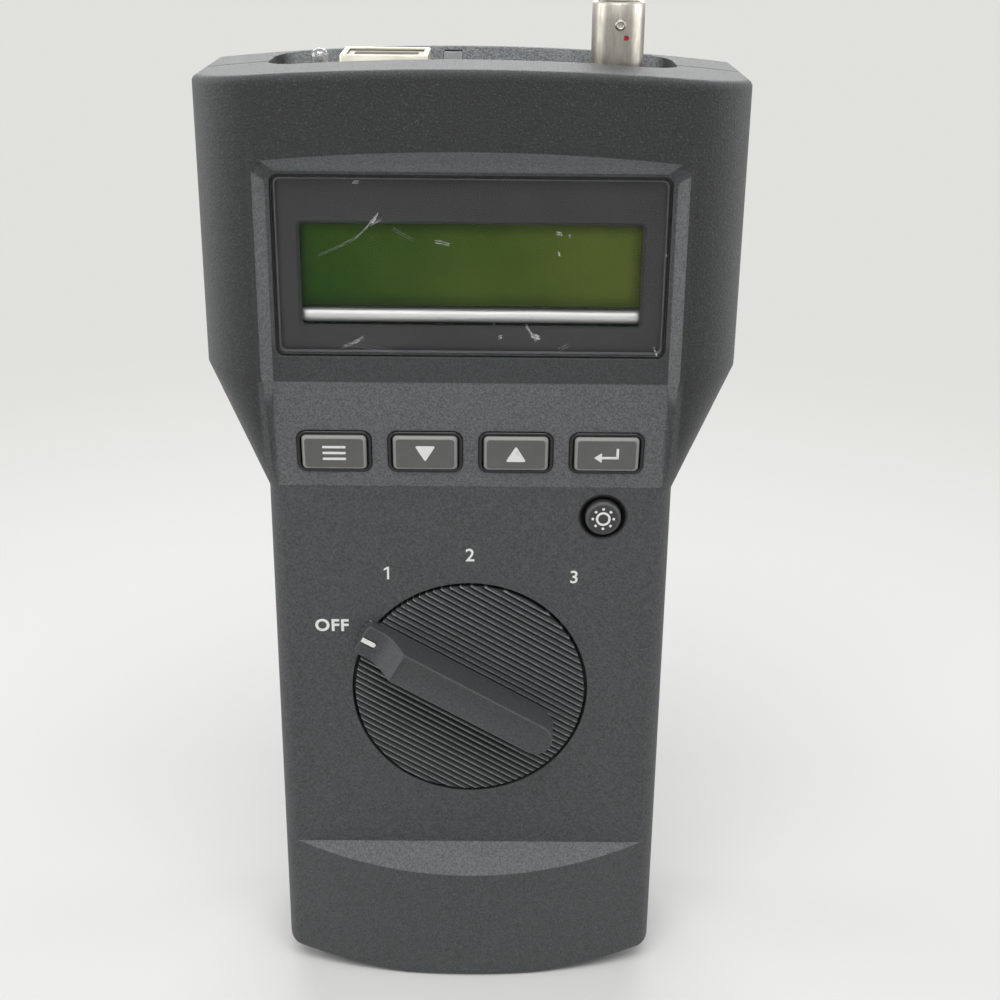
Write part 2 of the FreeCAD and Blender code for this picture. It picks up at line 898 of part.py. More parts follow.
def make_front_case(walls):
    knob = work_out(KNOB_FACE)
    seam = size("seam_height")
    inner = knob + size("wall")
    board = work_out(BOARD_FRONT)
    levels = lcd_levels()
    ahead = 2 * work_out(FRONT)
    solid = walls.common(half_space(ahead, seam))
    # thick ring that carries the floor of the knob's pocket
    floor_rear = knob + size("knob_pocket") + size("knob_floor")
    pit_radius = size("knob_radius") + size("knob_ring_gap")
    centre = size("knob_centre")
    solid = solid.fuse(peg(pit_radius + size("wall"), 0, centre, knob + size("wall") / 2, floor_rear))
    # bosses for the case screws and standoffs for the boards
    tall = body_form(size("wall") / 2).common(half_space(ahead, seam))
    posts = [peg(size("boss_radius"), x, z, work_out(FRONT), seam) for x, z in boss_spots()]
    posts += [peg(size("standoff_radius"), x, z, work_out(FRONT), board) for x, z in standoff_spots()]
    for x, z in display_screw_spots():
        posts.append(peg(size("standoff_radius"), x, z, work_out(FRONT), levels["light_rear"]))
    for post in posts:
        solid = solid.fuse(post.common(tall))
    for x, z in key_post_spots():
        post = peg(size("key_post_radius"), x, z, size("wall") / 2, key_levels()["board_front"])
        post.Placement = ramp_frame(0).multiply(post.Placement)
        solid = solid.fuse(post)
    holes = [peg(pit_radius, 0, centre, ahead, knob + size("knob_pocket"))]
    holes.append(peg(size("shaft_radius") + size("shaft_gap"), 0, centre, knob, floor_rear + 1))
    # display opening: a pocket for the lens and a window behind it
    gap = size("lens_gap")
    middle = Vector(0, ahead, size("lens_centre"))
    wide = size("lens_width") + 2 * gap
    tall_lens = size("lens_height") + 2 * gap
    depth = levels["lens_rear"] - ahead
    holes.append(rounded_box(wide, tall_lens, depth, size("lens_corner") + gap, middle))
    ledge = size("lens_ledge")
    through = rounded_box(
        size("lens_width") - 2 * ledge, size("lens_height") - 2 * ledge,
        levels["light_rear"] - ahead, size("window_corner"), middle,
    )
    holes.append(through)
    # key openings, each with a shallow seat for its surround
    for name, x in key_spots():
        seat = rounded_box(
            size("surround_width"), size("surround_height"), 4 + size("surround_depth"),
            size("surround_corner") + size("surround_gap"), Vector(0, -4, 0),
        )
        way = rounded_box(
            size("key_width") + 2 * size("key_gap"), size("key_height") + 2 * size("key_gap"),
            12.0, size("key_corner") + size("key_gap"), Vector(0, -4, 0),
        )
        both = seat.fuse(way)
        both.Placement = ramp_frame(x)
        holes.append(both)
    # round key: a dished recess and its opening
    x, z = size("light_key_x"), size("light_key_centre")
    way = size("light_key_radius") + size("key_gap")
    dish = Part.makeCone(
        size("light_key_recess"), way + 0.4, size("light_key_depth"),
        Vector(x, knob, z), Vector(0, 1, 0),
    )
    holes += [dish, peg(way, x, z, knob - 1, inner + 1)]
    # blind screw holes
    bore = size("screw_radius") + size("screw_hole_gap")
    tip = screw_seat() - size("screw_length")
    holes += [peg(bore, bx, bz, tip - 0.5, seam + 1) for bx, bz in boss_spots()]
    thin = size("board_screw_radius") + size("screw_hole_gap")
    deep = size("board_screw_length") + 0.7
    holes += [peg(thin, sx, sz, board - deep, board + 1) for sx, sz in standoff_spots()]
    back = levels["light_rear"]
    deep = size("display_screw_length") + 0.7
    holes += [peg(thin, sx, sz, back - deep, back + 1) for sx, sz in display_screw_spots()]
    for hole in holes:
        solid = solid.cut(hole)
    return solid.removeSplitter()


def bay_box(grow, y0, y1):
    """Space of the battery bay, grown sideways, between two depths."""
    half = work_out(BAY_HALF) + grow
    high = work_out(BAY_HIGH) - size("bay_low") + 2 * grow
    block = Part.makeBox(2 * half, y1 - y0, high)
    block.translate(Vector(-half, y0, size("bay_low") - grow))
    return block


def door_span():
    """Half width, bottom and top of the battery door."""
    half = work_out(BAY_HALF) + size("door_lap")
    return half, size("bay_low") - size("door_lap"), work_out(BAY_HIGH) + size("door_head")


def door_block(grow, y0, y1):
    """Block with the outline of the battery door, grown on every edge."""
    half, low, high = door_span()
    middle = Vector(0, y0, (low + high) / 2)
    corner = size("door_corner") + grow
    return rounded_box(2 * (half + grow), high - low + 2 * grow, y1 - y0, corner, middle)


def door_screw_spot():
    """Height of the door's own screw, between the bay and the door's top edge."""
    return work_out(BAY_HIGH) + (size("door_head") + size("bay_wall")) / 2


def make_rear_case(walls):
    seam = size("seam_height")
    rear = work_out(REAR)
    solid = walls.common(half_space(seam, rear + 5))
    keep_in = body_form(size("wall") / 2).common(half_space(seam, rear))
    for x, z in boss_spots():
        post = peg(size("boss_radius") + 0.2, x, z, seam, rear)
        solid = solid.fuse(post.common(keep_in))
    # walls and floor of the battery bay
    floor = work_out(BAY_FLOOR)
    under = floor - size("bay_floor_thick")
    solid = solid.fuse(bay_box(size("bay_wall"), under, rear - 1))
    door_front = rear - size("door_thick") - size("door_gap")
    seat = door_block(size("wall") / 2, door_front - size("door_seat"), rear - 1)
    solid = solid.fuse(seat.common(keep_in))
    screw_z = door_screw_spot()
    post_front = door_front - size("door_post_length")
    solid = solid.fuse(peg(size("boss_radius"), 0, screw_z, post_front, rear - 1))
    solid = solid.cut(bay_box(0, floor, rear + 1))
    solid = solid.cut(door_block(size("door_gap"), door_front, rear + 1))
    bore = size("screw_radius") + size("screw_hole_gap")
    solid = solid.cut(peg(bore, 0, screw_z, post_front + 1, rear + 1))
    # wells for the screw heads and holes for their shanks
    seat = screw_seat()
    well = size("screw_head_radius") + size("screw_well_gap")
    for x, z in boss_spots():
        solid = solid.cut(peg(bore, x, z, seam - 1, seat + 1))
        solid = solid.cut(peg(well, x, z, seat, rear + 1))
    return solid.removeSplitter()


def shaped(label, shape, placement=None):
    """Sub-part whose shape is worked out above from the sheet."""
    feature = doc.addObject("Part::Feature", label)
    feature.Shape = shape
    if placement is not None:
        feature.Placement = placement.multiply(shape.Placement)
    return keep(feature, label)


def screw(x, z, seat, radius, head_radius, head_thick, length, slot=0.9):
    """Screw driven from the rear: head behind the seat, shank in front of it."""
    head = peg(head_radius, x, z, seat, seat + head_thick)
    shank = peg(radius, x, z, seat - length, seat)
    bar = Part.makeBox(2 * head_radius, head_thick, slot)
    bar.translate(Vector(x - head_radius, seat + head_thick * 0.55, z - slot / 2))
    upright = bar.copy()
    upright.rotate(Vector(x, 0, z), Vector(0, 1, 0), 90)
    return head.fuse(shank).cut(bar).cut(upright)


def make_case_screws():
    screws = []
    for x, z in boss_spots():
        screws.append(screw(
            x, z, screw_seat(), size("screw_radius"), size("screw_head_radius"),
            size("screw_head_thick"), size("screw_length"),
        ))
    return Part.makeCompound(screws)


def make_board_screws(spots, seat, length):
    """Small screws that hold a board on its standoffs."""
    radius = size("board_screw_radius")
    head = size("board_screw_head")
    thick = size("board_screw_head_thick")
    return Part.makeCompound([
        screw(x, z, seat, radius, head, thick, length + size("board_thick"), 0.5) for x, z in spots
    ])


# ------------------------------------------------------------------ display

def make_lens():
    levels = lcd_levels()
    body = new_body("display_lens")
    face = sketch_on(body, "XZ_Plane")
    rectangle(face, "d.lens_width", "d.lens_height")
    pad(body, face, "d.lens_thick", backwards=True)
    soften(body, "d.lens_corner", along_y)
    soften(body, "0.4", on_plane_y(0), "Chamfer")
    place(body, "0", "%s - d.lens_proud" % DISPLAY_FACE, "d.lens_centre")
    return keep(body, "display_lens")


def frame_plate(label, wide, high, thick, hole_wide, hole_high, y, z, hole_shift="0"):
    """Flat plate with a window in it."""
    body = new_body(label)
    face = sketch_on(body, "XZ_Plane")
    rectangle(face, wide, high)
    pad(body, face, thick, backwards=True)
    face = sketch_on(body, "XZ_Plane")
    rectangle(face, hole_wide, hole_high, "0", hole_shift)
    pocket(body, face, thick)
    place(body, "0", y, z)
    return keep(body, label)


def make_display():
    make_lens()
    lens_rear = "%s - d.lens_proud + d.lens_thick" % DISPLAY_FACE
    frame_front = "%s + d.wall" % DISPLAY_FACE
    frame_rear = "%s + d.frame_thick" % frame_front
    glass_rear = "%s + d.glass_thick" % frame_rear
    light_rear = "%s + d.light_thick" % glass_rear
    frame_plate(
        "lens_mask", "d.lens_width - 2 * d.lens_ledge - 2 * d.mask_gap",
        "d.lens_height - 2 * d.lens_ledge - 2 * d.mask_gap",
        "d.mask_thick", "d.window_width", "d.window_height", lens_rear, "d.lens_centre",
        "d.window_centre - d.lens_centre",
    )
    frame_plate(
        "display_frame", "d.frame_width", "d.frame_height", "d.frame_thick",
        "d.window_width + 2 * d.frame_rim", "d.window_height + 2 * d.frame_rim",
        frame_front, "d.lens_centre",
        "d.window_centre - d.lens_centre",
    )
    glass_low = "d.glass_centre - d.glass_height / 2"
    keep(box(
        "display_glass", "d.glass_width", "d.glass_thick", "d.glass_height",
        "0", frame_rear, glass_low,
    ), "display_glass")
    keep(rod(
        "light_bar", "d.glass_thick / 2", "d.light_bar_length", "-d.light_bar_length / 2",
        "%s + d.glass_thick / 2" % frame_rear,
        "%s - d.light_bar_gap - d.glass_thick / 2" % glass_low, "X",
    ), "light_bar")
    keep(box(
        "backlight_panel", "d.glass_width", "d.light_thick", "d.glass_height + 2 * d.backlight_rim",
        "0", glass_rear, "%s - d.backlight_rim" % glass_low,
    ), "backlight_panel")
    board = box(
        "display_plate", "d.display_board_width", "d.board_thick", "d.display_board_height",
        "0", light_rear, "d.lens_centre - d.display_board_height / 2",
    )
    holes = []
    for i, (sx, sz) in enumerate(((-1, -1), (-1, 1), (1, -1), (1, 1))):
        holes.append(rod(
            "display_hole_%d" % i, "d.board_screw_radius + d.hole_gap", "d.board_thick + 2",
            "%d * (d.display_board_width / 2 - d.display_screw_inset)" % sx, "%s - 1" % light_rear,
            "d.lens_centre + %d * (d.display_board_height / 2 - d.display_screw_inset)" % sz, "Y",
        ))
    keep(cut("display_board", board, holes), "display_board")
    levels = lcd_levels()
    length = size("display_screw_length")
    shaped("display_screws", make_board_screws(display_screw_spots(), levels["board_rear"], length))


# --------------------------------------------------------------------- keys

def make_key(name, x):
    """Rectangular key with a flange behind the wall, in the ramp's frame."""
    body = new_body(name)
    face = sketch_on(body, "XZ_Plane", "-d.wall - d.fit_gap")
    rectangle(face, "d.key_width", "d.key_height")
    pad(body, face, "d.wall + d.fit_gap + d.key_proud")
    soften(body, "d.key_corner", along_y)
    soften(body, "0.35", on_plane_y(-size("key_proud")))
    face = sketch_on(body, "XZ_Plane", "-d.wall - d.fit_gap")
    rectangle(face, "d.key_width + 2 * d.key_flange", "d.key_height + 2 * d.key_flange")
    pad(body, face, "d.key_flange_thick", backwards=True)
    body.Placement = ramp_frame(x)
    return keep(body, name)


def make_surround(name, x):
    """Raised ring set into the case around one key."""
    body = new_body(name)
    face = sketch_on(body, "XZ_Plane", "-d.surround_depth")
    rectangle(
        face, "d.surround_width - 2 * d.surround_gap", "d.surround_height - 2 * d.surround_gap",
    )
    pad(body, face, "d.surround_depth + d.surround_proud")
    soften(body, "d.surround_corner", along_y)
    soften(body, "0.25", on_plane_y(-size("surround_proud")))
    face = sketch_on(body, "XZ_Plane", "-d.surround_depth")
    rectangle(face, "d.key_width + 2 * d.key_gap", "d.key_height + 2 * d.key_gap")
    pocket(body, face, "d.surround_depth + d.surround_proud + 1", backwards=True)
    body.Placement = ramp_frame(x)
    return keep(body, name)


def make_light_key():
    """Round key for the display's light, with a flange behind the wall."""
    body = new_body("light_key")
    face = sketch_on(body, "XZ_Plane", "-d.wall - d.fit_gap")
    circle(face, "d.light_key_radius")
    pad(body, face, "d.wall + d.fit_gap + d.key_proud")
    soften(body, "0.4", on_plane_y(-size("key_proud")))
    face = sketch_on(body, "XZ_Plane", "-d.wall - d.fit_gap")
    circle(face, "d.light_key_radius + d.key_flange")
    pad(body, face, "d.key_flange_thick", backwards=True)
    place(body, "d.light_key_x", KNOB_FACE, "d.light_key_centre")
    return keep(body, "light_key")


def make_keys():
    for name, x in key_spots():
        make_key(name + "_key", x)
        make_surround(name + "_surround", x)
    make_light_key()
    levels = key_levels()
    frame = ramp_frame(0)
    wide = size("key_board_width")
    high = size("key_board_height")
    post = high / 2 - size("key_post_inset")
    pad_high = 2 * (post - size("key_post_radius") - size("key_gap"))
    sheet_pad = rounded_box(wide, pad_high, size("pad_thick"), 1.0, Vector(0, levels["pad_front"], 0))
    shaped("key_pad", sheet_pad, frame)
    board = rounded_box(wide, high, size("board_thick"), 0, Vector(0, levels["board_front"], 0))
    shaped("key_board", board, frame)
    # push switch of the round key, standing on the main board
    side = "d.light_switch_size"
    top = "%s + d.wall + d.fit_gap + d.key_flange_thick + d.key_travel + d.pad_gap" % KNOB_FACE
    shoulder = "%s + d.light_switch_rise" % top
    plunger = rod(
        "switch_plunger", "d.light_switch_plunger", "d.light_switch_rise",
        "d.light_key_x", top, "d.light_key_centre", "Y",
    )
    block = box(
        "switch_block", side, "%s - (%s)" % (BOARD_FRONT, shoulder), side,
        "d.light_key_x", shoulder, "d.light_key_centre - %s / 2" % side,
    )
    keep(fuse("light_switch", [plunger, block]), "light_switch")


# --------------------------------------------------------------------- knob

def knob_place(thing):
    """Stand a knob piece on the knob's axis with the pointer at its rest angle."""
    thing.Placement.Rotation = Rotation(Vector(0, -1, 0), size("knob_turn"))
    return place(thing, "0", KNOB_FACE, "d.knob_centre")


def make_selector_knob():
    """Disc with a grip bar; -Y is out of the face and +Z is the pointer."""
    body = new_body("selector_knob")
    rear = "d.knob_pocket - d.knob_gap"
    face = sketch_on(body, "XZ_Plane", "-(%s)" % rear)
    circle(face, "d.knob_radius")
    pad(body, face, "%s + d.knob_proud" % rear)
    side = sketch_on(body, "YZ_Plane")
    under = "-d.knob_proud - 0.3"
    polygon(side, [
        ("0.5", "-d.grip_tail"),
        ("-d.grip_rise", "-d.grip_tail"),
        ("-d.grip_rise", "d.grip_head"),
        ("-d.pointer_rise", "d.grip_head + d.pointer_rise"),
        ("-d.pointer_rise", "d.pointer_reach"),
        (under, "d.pointer_reach"),
        (under, "d.knob_radius - 1"),
        ("0.5", "d.knob_radius - 1"),
    ])
    before = body.Shape.Volume
    bar = body.newObject("PartDesign::Pad", "grip_bar")
    bar.Profile = side
    bar.Midplane = True
    bind(bar, Length="d.grip_width")
    doc.recompute()
    check_direction(body, before, True)

    def tail_edge(edge):
        return along_y(edge) and abs(edge.Vertexes[0].Z + size("grip_tail")) < 1e-6

    def blend_edge(edge):
        corner = size("grip_head") + size("pointer_rise")
        return all(
            abs(v.Z - corner) < 1e-6 and abs(v.Y + size("pointer_rise")) < 1e-6
            for v in edge.Vertexes
        )

    soften(body, "d.grip_width / 2 - d.fit_gap", tail_edge)
    soften(body, "d.pointer_blend", blend_edge)
    soften(body, "0.45", on_plane_y(-size("grip_rise")))
    groove = sketch_on(body, "XZ_Plane", "d.pointer_rise")
    rectangle(
        groove, "d.mark_width + 0.3", "d.mark_length + 0.3",
        "0", "d.pointer_reach - d.mark_length / 2",
    )
    pocket(body, groove, "d.mark_depth")
    hub = sketch_on(body, "XZ_Plane", "-(%s)" % rear)
    circle(hub, "d.shaft_radius")
    pad(body, hub, "d.knob_gap + d.knob_floor + d.knob_gap", backwards=True)
    bore = sketch_on(body, "XZ_Plane", "-(d.knob_pocket + d.knob_floor + d.knob_gap)")
    circle(bore, "d.screw_radius + d.screw_hole_gap")
    pocket(body, bore, "6", backwards=True)
    knob_place(body)
    return keep(body, "selector_knob")


def make_knob_train():
    make_selector_knob()
    mark = new_body("pointer_mark")
    face = sketch_on(mark, "XZ_Plane", "d.pointer_rise - d.mark_depth")
    rectangle(face, "d.mark_width", "d.mark_length", "0", "d.pointer_reach - d.mark_length / 2")
    pad(mark, face, "d.mark_depth - d.fit_gap")
    knob_place(mark)
    keep(mark, "pointer_mark")
    # rotor behind the wall, with a hole for its screw
    front = "d.knob_pocket + d.knob_floor + d.knob_gap"
    rotor = new_body("switch_rotor")
    face = sketch_on(rotor, "XZ_Plane", "-(%s)" % front)
    circle(face, "d.rotor_radius")
    pad(rotor, face, "d.rotor_thick", backwards=True)
    face = sketch_on(rotor, "XZ_Plane", "-(%s)" % front)
    circle(face, "d.screw_radius + d.hole_gap")
    pocket(rotor, face, "d.rotor_thick")
    knob_place(rotor)
    keep(rotor, "switch_rotor")
    rear = work_out("%s + d.rotor_thick" % front)
    turn = Placement(
        Vector(0, work_out(KNOB_FACE), size("knob_centre")),
        Rotation(Vector(0, -1, 0), size("knob_turn")),
    )
    wide = size("wiper_width")
    blade = size("wiper_blade")
    wipers = []
    for i in range(3):
        radius = size("wiper_inner") + i * size("wiper_step")
        arm = Part.makeBox(wide, size("wiper_reach"), blade)
        arm.translate(Vector(-wide / 2, rear, radius - blade))
        foot = Part.makeBox(wide, blade, size("wiper_foot"))
        foot.translate(Vector(-wide / 2, rear, radius - size("wiper_foot")))
        wipers.append(arm.fuse(foot).removeSplitter())
    shaped("wiper_contacts", Part.makeCompound(wipers), turn)
    held = screw(0, 0, rear, size("screw_radius"), size("screw_head_radius"), 1.2, 8.0)
    shaped("rotor_screw", held, turn)
    # leaf spring that clicks on the rotor's rim
    level = work_out("%s + d.knob_pocket + d.knob_floor" % KNOB_FACE)
    low = size("knob_centre") + size("rotor_radius") + size("detent_gap")
    wide = size("detent_width")
    base = Part.makeBox(wide, size("spring_blade"), size("detent_height"))
    base.translate(Vector(-wide / 2, level, low))
    upright = Part.makeBox(wide, size("detent_reach"), size("spring_blade"))
    upright.translate(Vector(-wide / 2, level, low))
    shaped("detent_spring", base.fuse(upright).removeSplitter())


# --------------------------------------------------------------- main board

def board_hole(name, x, z):
    return rod(
        name, "d.board_screw_radius + d.hole_gap", "d.board_thick + 2",
        x, "%s - 1" % BOARD_FRONT, z, "Y",
    )


def make_main_board():
    plate = box(
        "main_plate", "d.main_board_width", "d.board_thick", "d.main_board_high - d.main_board_low",
        "0", BOARD_FRONT, "d.main_board_low",
    )
    low = "d.main_board_low + d.standoff_inset"
    middle = "d.light_key_centre - d.standoff_drop"
    high = "d.main_board_high - d.standoff_inset"
    holes = [
        board_hole("low_left_hole", "-d.standoff_side", low),
        board_hole("low_right_hole", "d.standoff_side", low),
        board_hole("middle_left_hole", "-d.standoff_side", middle),
        board_hole("middle_right_hole", "d.standoff_side", middle),
        board_hole("top_left_hole", "-d.standoff_side", high),
        board_hole("top_right_hole", "d.standoff_top_right", high),
    ]
    keep(cut("main_board", plate, holes), "main_board")
    rear = work_out(BOARD_REAR)
    length = size("board_screw_length")
    shaped("board_screws", make_board_screws(standoff_spots(), rear, length))


def make_chips():
    """Parts on the rear of the main board, above the battery bay."""
    shelf = "%s + d.door_head" % BAY_HIGH
    chips = (
        ("processor_chip", "processor", "processor_width"),
        ("memory_chip", "memory", "memory_height"),
        ("pulse_chip", "pulse", "pulse_height"),
        ("crystal_can", "crystal", "crystal_height"),
    )
    for name, word, high in chips:
        keep(box(
            name, "d.%s_width" % word, "d.%s_thick" % word, "d." + high,
            "d.%s_x" % word, BOARD_REAR, "%s + d.%s_up" % (shelf, word),
        ), name)
    keep(rod(
        "storage_capacitor", "d.capacitor_radius", "d.capacitor_length",
        "d.capacitor_x", BOARD_REAR, "%s + d.capacitor_up" % shelf, "Y",
    ), "storage_capacitor")


# --------------------------------------------------------------- connectors

def make_connector_panel():
    """Floor plate of the recess, with openings for the connectors and a tab."""
    floor = size("recess_floor")
    low = floor - size("panel_thick")
    gap = size("panel_gap")
    plate = stadium(size("recess_wall") - gap, low, floor)
    plate = plate.common(body_form(size("wall") + gap))
    y = size("connector_y")
    way = Part.makeBox(size("jack_width") + 2 * gap, size("jack_thick") + 2 * gap, 10)
    way.translate(Vector(
        size("jack_x") - size("jack_width") / 2 - gap, y - size("jack_thick") / 2 - gap, low - 4,
    ))
    plate = plate.cut(way)
    for x, radius in (
        (size("coax_x"), size("coax_thread_radius") + gap),
        (size("indicator_x"), size("indicator_radius") + gap),
    ):
        plate = plate.cut(Part.makeCylinder(radius, 10, Vector(x, y, low - 4)))
    tab = Part.makeBox(size("tab_width"), size("tab_thick"), size("tab_top") - low)
    tab.translate(Vector(size("tab_x") - size("tab_width") / 2, y - size("tab_thick") / 2, low))
    return plate.fuse(tab).removeSplitter()


def make_jack():
    """Shielded eight-way socket: sheet shell, moulded insert and wires."""
    x = "d.jack_x"
    y = "d.connector_y - d.jack_thick / 2"
    z = "d.jack_top - d.jack_length"
    sheet_thick = "d.jack_sheet"
    can = box("jack_can", "d.jack_width", "d.jack_thick", "d.jack_length", x, y, z)
    bore = box(
        "jack_bore", "d.jack_width - 2 * d.jack_sheet", "d.jack_thick - 2 * d.jack_sheet",
        "d.jack_length + 2", x, "%s + %s" % (y, sheet_thick), "%s - 1" % z,
    )
    keep(cut("jack_shell", can, [bore]), "jack_shell")
    inset = "(d.jack_sheet + d.fit_gap)"
    block = box(
        "insert_block", "d.jack_width - 2 * %s" % inset, "d.jack_thick - 2 * %s" % inset,
        "d.jack_length - 2 * d.jack_sheet", x, "%s + %s" % (y, inset), z,
    )
    # the plug's way in, its latch on the front side and the wires at the rear
    socket_y = "d.connector_y - d.socket_thick / 2 + d.socket_shift"
    mouth = "d.jack_top - d.socket_depth"
    hollow = box(
        "socket_hollow", "d.socket_width", "d.socket_thick", "d.socket_depth + 1",
        x, socket_y, mouth,
    )
    latch = box(
        "latch_hollow", "d.latch_width", "d.latch_thick + 0.5", "d.socket_depth + 1",
        x, "%s - d.latch_thick" % socket_y, mouth,
    )
    keep(cut("jack_insert", block, [hollow, latch]), "jack_insert")
    rear = work_out("%s + d.socket_thick" % socket_y) - size("fit_gap")
    top = size("jack_top") - size("contact_drop")
    low = top - size("contact_length")
    wire = size("contact_wire")
    wires = []
    for i in range(8):
        left = size("jack_x") + (i - 3.5) * size("contact_pitch") - wire / 2
        profile = [
            Vector(left, rear, top),
            Vector(left, rear, top - wire),
            Vector(left, rear - size("contact_reach") + wire, low),
            Vector(left, rear - size("contact_reach"), low + wire),
        ]
        wires.append(slab(profile, Vector(wire, 0, 0)))
    shaped("jack_contacts", Part.makeCompound(wires))


def make_coax():
    """Bayonet coaxial socket screwed through the panel."""
    floor = "d.recess_floor"
    shelf = "d.recess_floor + d.coax_flange_thick"
    foot = "d.recess_floor - d.coax_thread_length"
    body = new_body("coax_body")
    side = sketch_on(body, "XZ_Plane")
    polygon(side, [
        ("d.coax_bore", shelf),
        ("d.coax_bore", "d.coax_top"),
        ("d.coax_radius", "d.coax_top"),
        ("d.coax_radius", shelf),
        ("d.coax_flange_radius", shelf),
        ("d.coax_flange_radius", floor),
        ("d.coax_thread_radius", floor),
        ("d.coax_thread_radius", foot),
        ("d.coax_core_radius", foot),
        ("d.coax_core_radius", shelf),
    ])
    revolve(body, side)
    root = "d.coax_radius - 0.35"
    reach = "d.coax_lug_reach + 0.35"
    for offset, backwards in ((root, False), ("-(%s)" % root, True)):
        lug = sketch_on(body, "XZ_Plane", offset)
        circle(lug, "d.coax_lug_radius", "0", "d.coax_top - d.coax_lug_drop")
        pad(body, lug, reach, backwards)
    place(body, "d.coax_x", "d.connector_y", "0")
    keep(body, "coax_body")
    core = new_body("coax_insulator")
    side = sketch_on(core, "XZ_Plane")
    polygon(side, [
        ("d.coax_pin_radius + d.fit_gap", foot),
        ("d.coax_core_radius - d.fit_gap", foot),
        ("d.coax_core_radius - d.fit_gap", "d.coax_top - d.coax_core_drop"),
        ("d.coax_pin_radius + d.fit_gap", "d.coax_top - d.coax_core_drop"),
    ])
    revolve(core, side)
    place(core, "d.coax_x", "d.connector_y", "0")
    keep(core, "coax_insulator")
    pin = new_body("coax_contact")
    mouth = "d.coax_top - d.coax_pin_drop"
    side = sketch_on(pin, "XZ_Plane")
    polygon(side, [
        ("0", "%s - 3" % foot),
        ("d.coax_pin_radius", "%s - 3" % foot),
        ("d.coax_pin_radius", mouth),
        ("d.coax_pin_bore", mouth),
        ("d.coax_pin_bore", "%s - d.coax_pin_depth" % mouth),
        ("0", "%s - d.coax_pin_depth" % mouth),
    ])
    revolve(pin, side)
    place(pin, "d.coax_x", "d.connector_y", "0")
    keep(pin, "coax_contact")
    under = "d.recess_floor - d.panel_thick"
    washer = rod(
        "washer_disc", "d.coax_nut_width / 2 - d.hole_gap", "d.coax_washer_thick", "d.coax_x",
        "d.connector_y", "%s - d.coax_washer_thick" % under,
    )
    hole = rod(
        "washer_hole", "d.coax_thread_radius + d.hole_gap", "d.coax_washer_thick + 2", "d.coax_x",
        "d.connector_y", "%s - d.coax_washer_thick - 1" % under,
    )
    keep(cut("coax_washer", washer, [hole]), "coax_washer")
    nut = doc.addObject("Part::Prism", "nut_blank")
    nut.Polygon = 6
    bind(nut, Circumradius="d.coax_nut_width / 2 / cos(30)", Height="d.coax_nut_thick")
    base = "%s - d.coax_washer_thick - d.coax_nut_thick" % under
    place(nut, "d.coax_x", "d.connector_y", base)
    hole = rod(
        "nut_hole", "d.coax_thread_radius + d.screw_hole_gap", "d.coax_nut_thick + 2", "d.coax_x",
        "d.connector_y", "%s - 1" % base,
    )
    keep(cut("coax_nut", nut, [hole]), "coax_nut")


def make_indicator():
    """Clear domed lamp beside the socket."""
    low = "d.recess_floor - d.panel_thick - d.indicator_tail"

    def top_rim(edge):
        return len(edge.Vertexes) == 1 and edge.Vertexes[0].Z > size("indicator_radius")

    body = new_body("indicator_lamp")
    face = sketch_on(body, "XY_Plane")
    circle(face, "d.indicator_radius")
    pad(body, face, "d.indicator_top - (%s)" % low)
    soften(body, "d.indicator_radius * 0.9", top_rim)
    flange = sketch_on(body, "XY_Plane")
    circle(flange, "d.indicator_radius + d.indicator_flange")
    pad(body, flange, "d.indicator_flange_thick")
    place(body, "d.indicator_x", "d.connector_y", low)
    return keep(body, "indicator_lamp")


# ---------------------------------------------------------------- batteries

def cell_spots():
    """X of each cell and whether its button end is up."""
    return [((i - (CELLS - 1) / 2) * work_out(CELL_PITCH), i % 2 == 0) for i in range(CELLS)]


def make_cell(name, x, upright):
    """Round cell with a button at one end."""
    body = new_body(name)
    side = sketch_on(body, "XZ_Plane")
    polygon(side, [
        ("0", "0"),
        ("d.cell_radius", "0"),
        ("d.cell_radius", "d.cell_length - d.cell_button_rise"),
        ("d.cell_button_radius", "d.cell_length - d.cell_button_rise"),
        ("d.cell_button_radius", "d.cell_length"),
        ("0", "d.cell_length"),
    ])
    revolve(body, side)
    low = size("bay_low") + size("cell_lift")
    y = work_out(CELL_Y)
    if upright:
        body.Placement = Placement(Vector(x, y, low), Rotation())
    else:
        top = low + size("cell_length")
        body.Placement = Placement(Vector(x, y, top), Rotation(Vector(1, 0, 0), 180))
    return keep(body, name)


def make_batteries():
    low = size("bay_low")
    start = work_out(BAY_FLOOR) + size("spring_shift")
    reach = size("spring_height")
    rise = size("spring_rise")
    wide = size("spring_width")
    blade = size("spring_blade")
    springs = []
    spots = cell_spots()
    for number, (x, upright) in enumerate(spots, start=1):
        make_cell("cell_%d" % number, x, upright)
        left = x - wide / 2
        profile = [
            Vector(left, start, low),
            Vector(left, start + reach, low),
            Vector(left, start + reach, low + blade),
            Vector(left, start + blade, low + blade),
            Vector(left, start + reach - 1, low + rise),
            Vector(left, start + reach - 1, low + rise + blade),
            Vector(left, start, low + 2 * blade),
        ]
        springs.append(slab(profile, Vector(wide, 0, 0)))
    shaped("battery_springs", Part.makeCompound(springs))
    plates = []
    for i in range(0, len(spots) - 1, 2):
        left = spots[i][0] - wide / 2
        right = spots[i + 1][0] + wide / 2
        plate = Part.makeBox(right - left, reach, size("plate_thick"))
        plate.translate(Vector(left, start, work_out(BAY_HIGH) - size("plate_thick")))
        plates.append(plate)
    shaped("battery_plates", Part.makeCompound(plates))


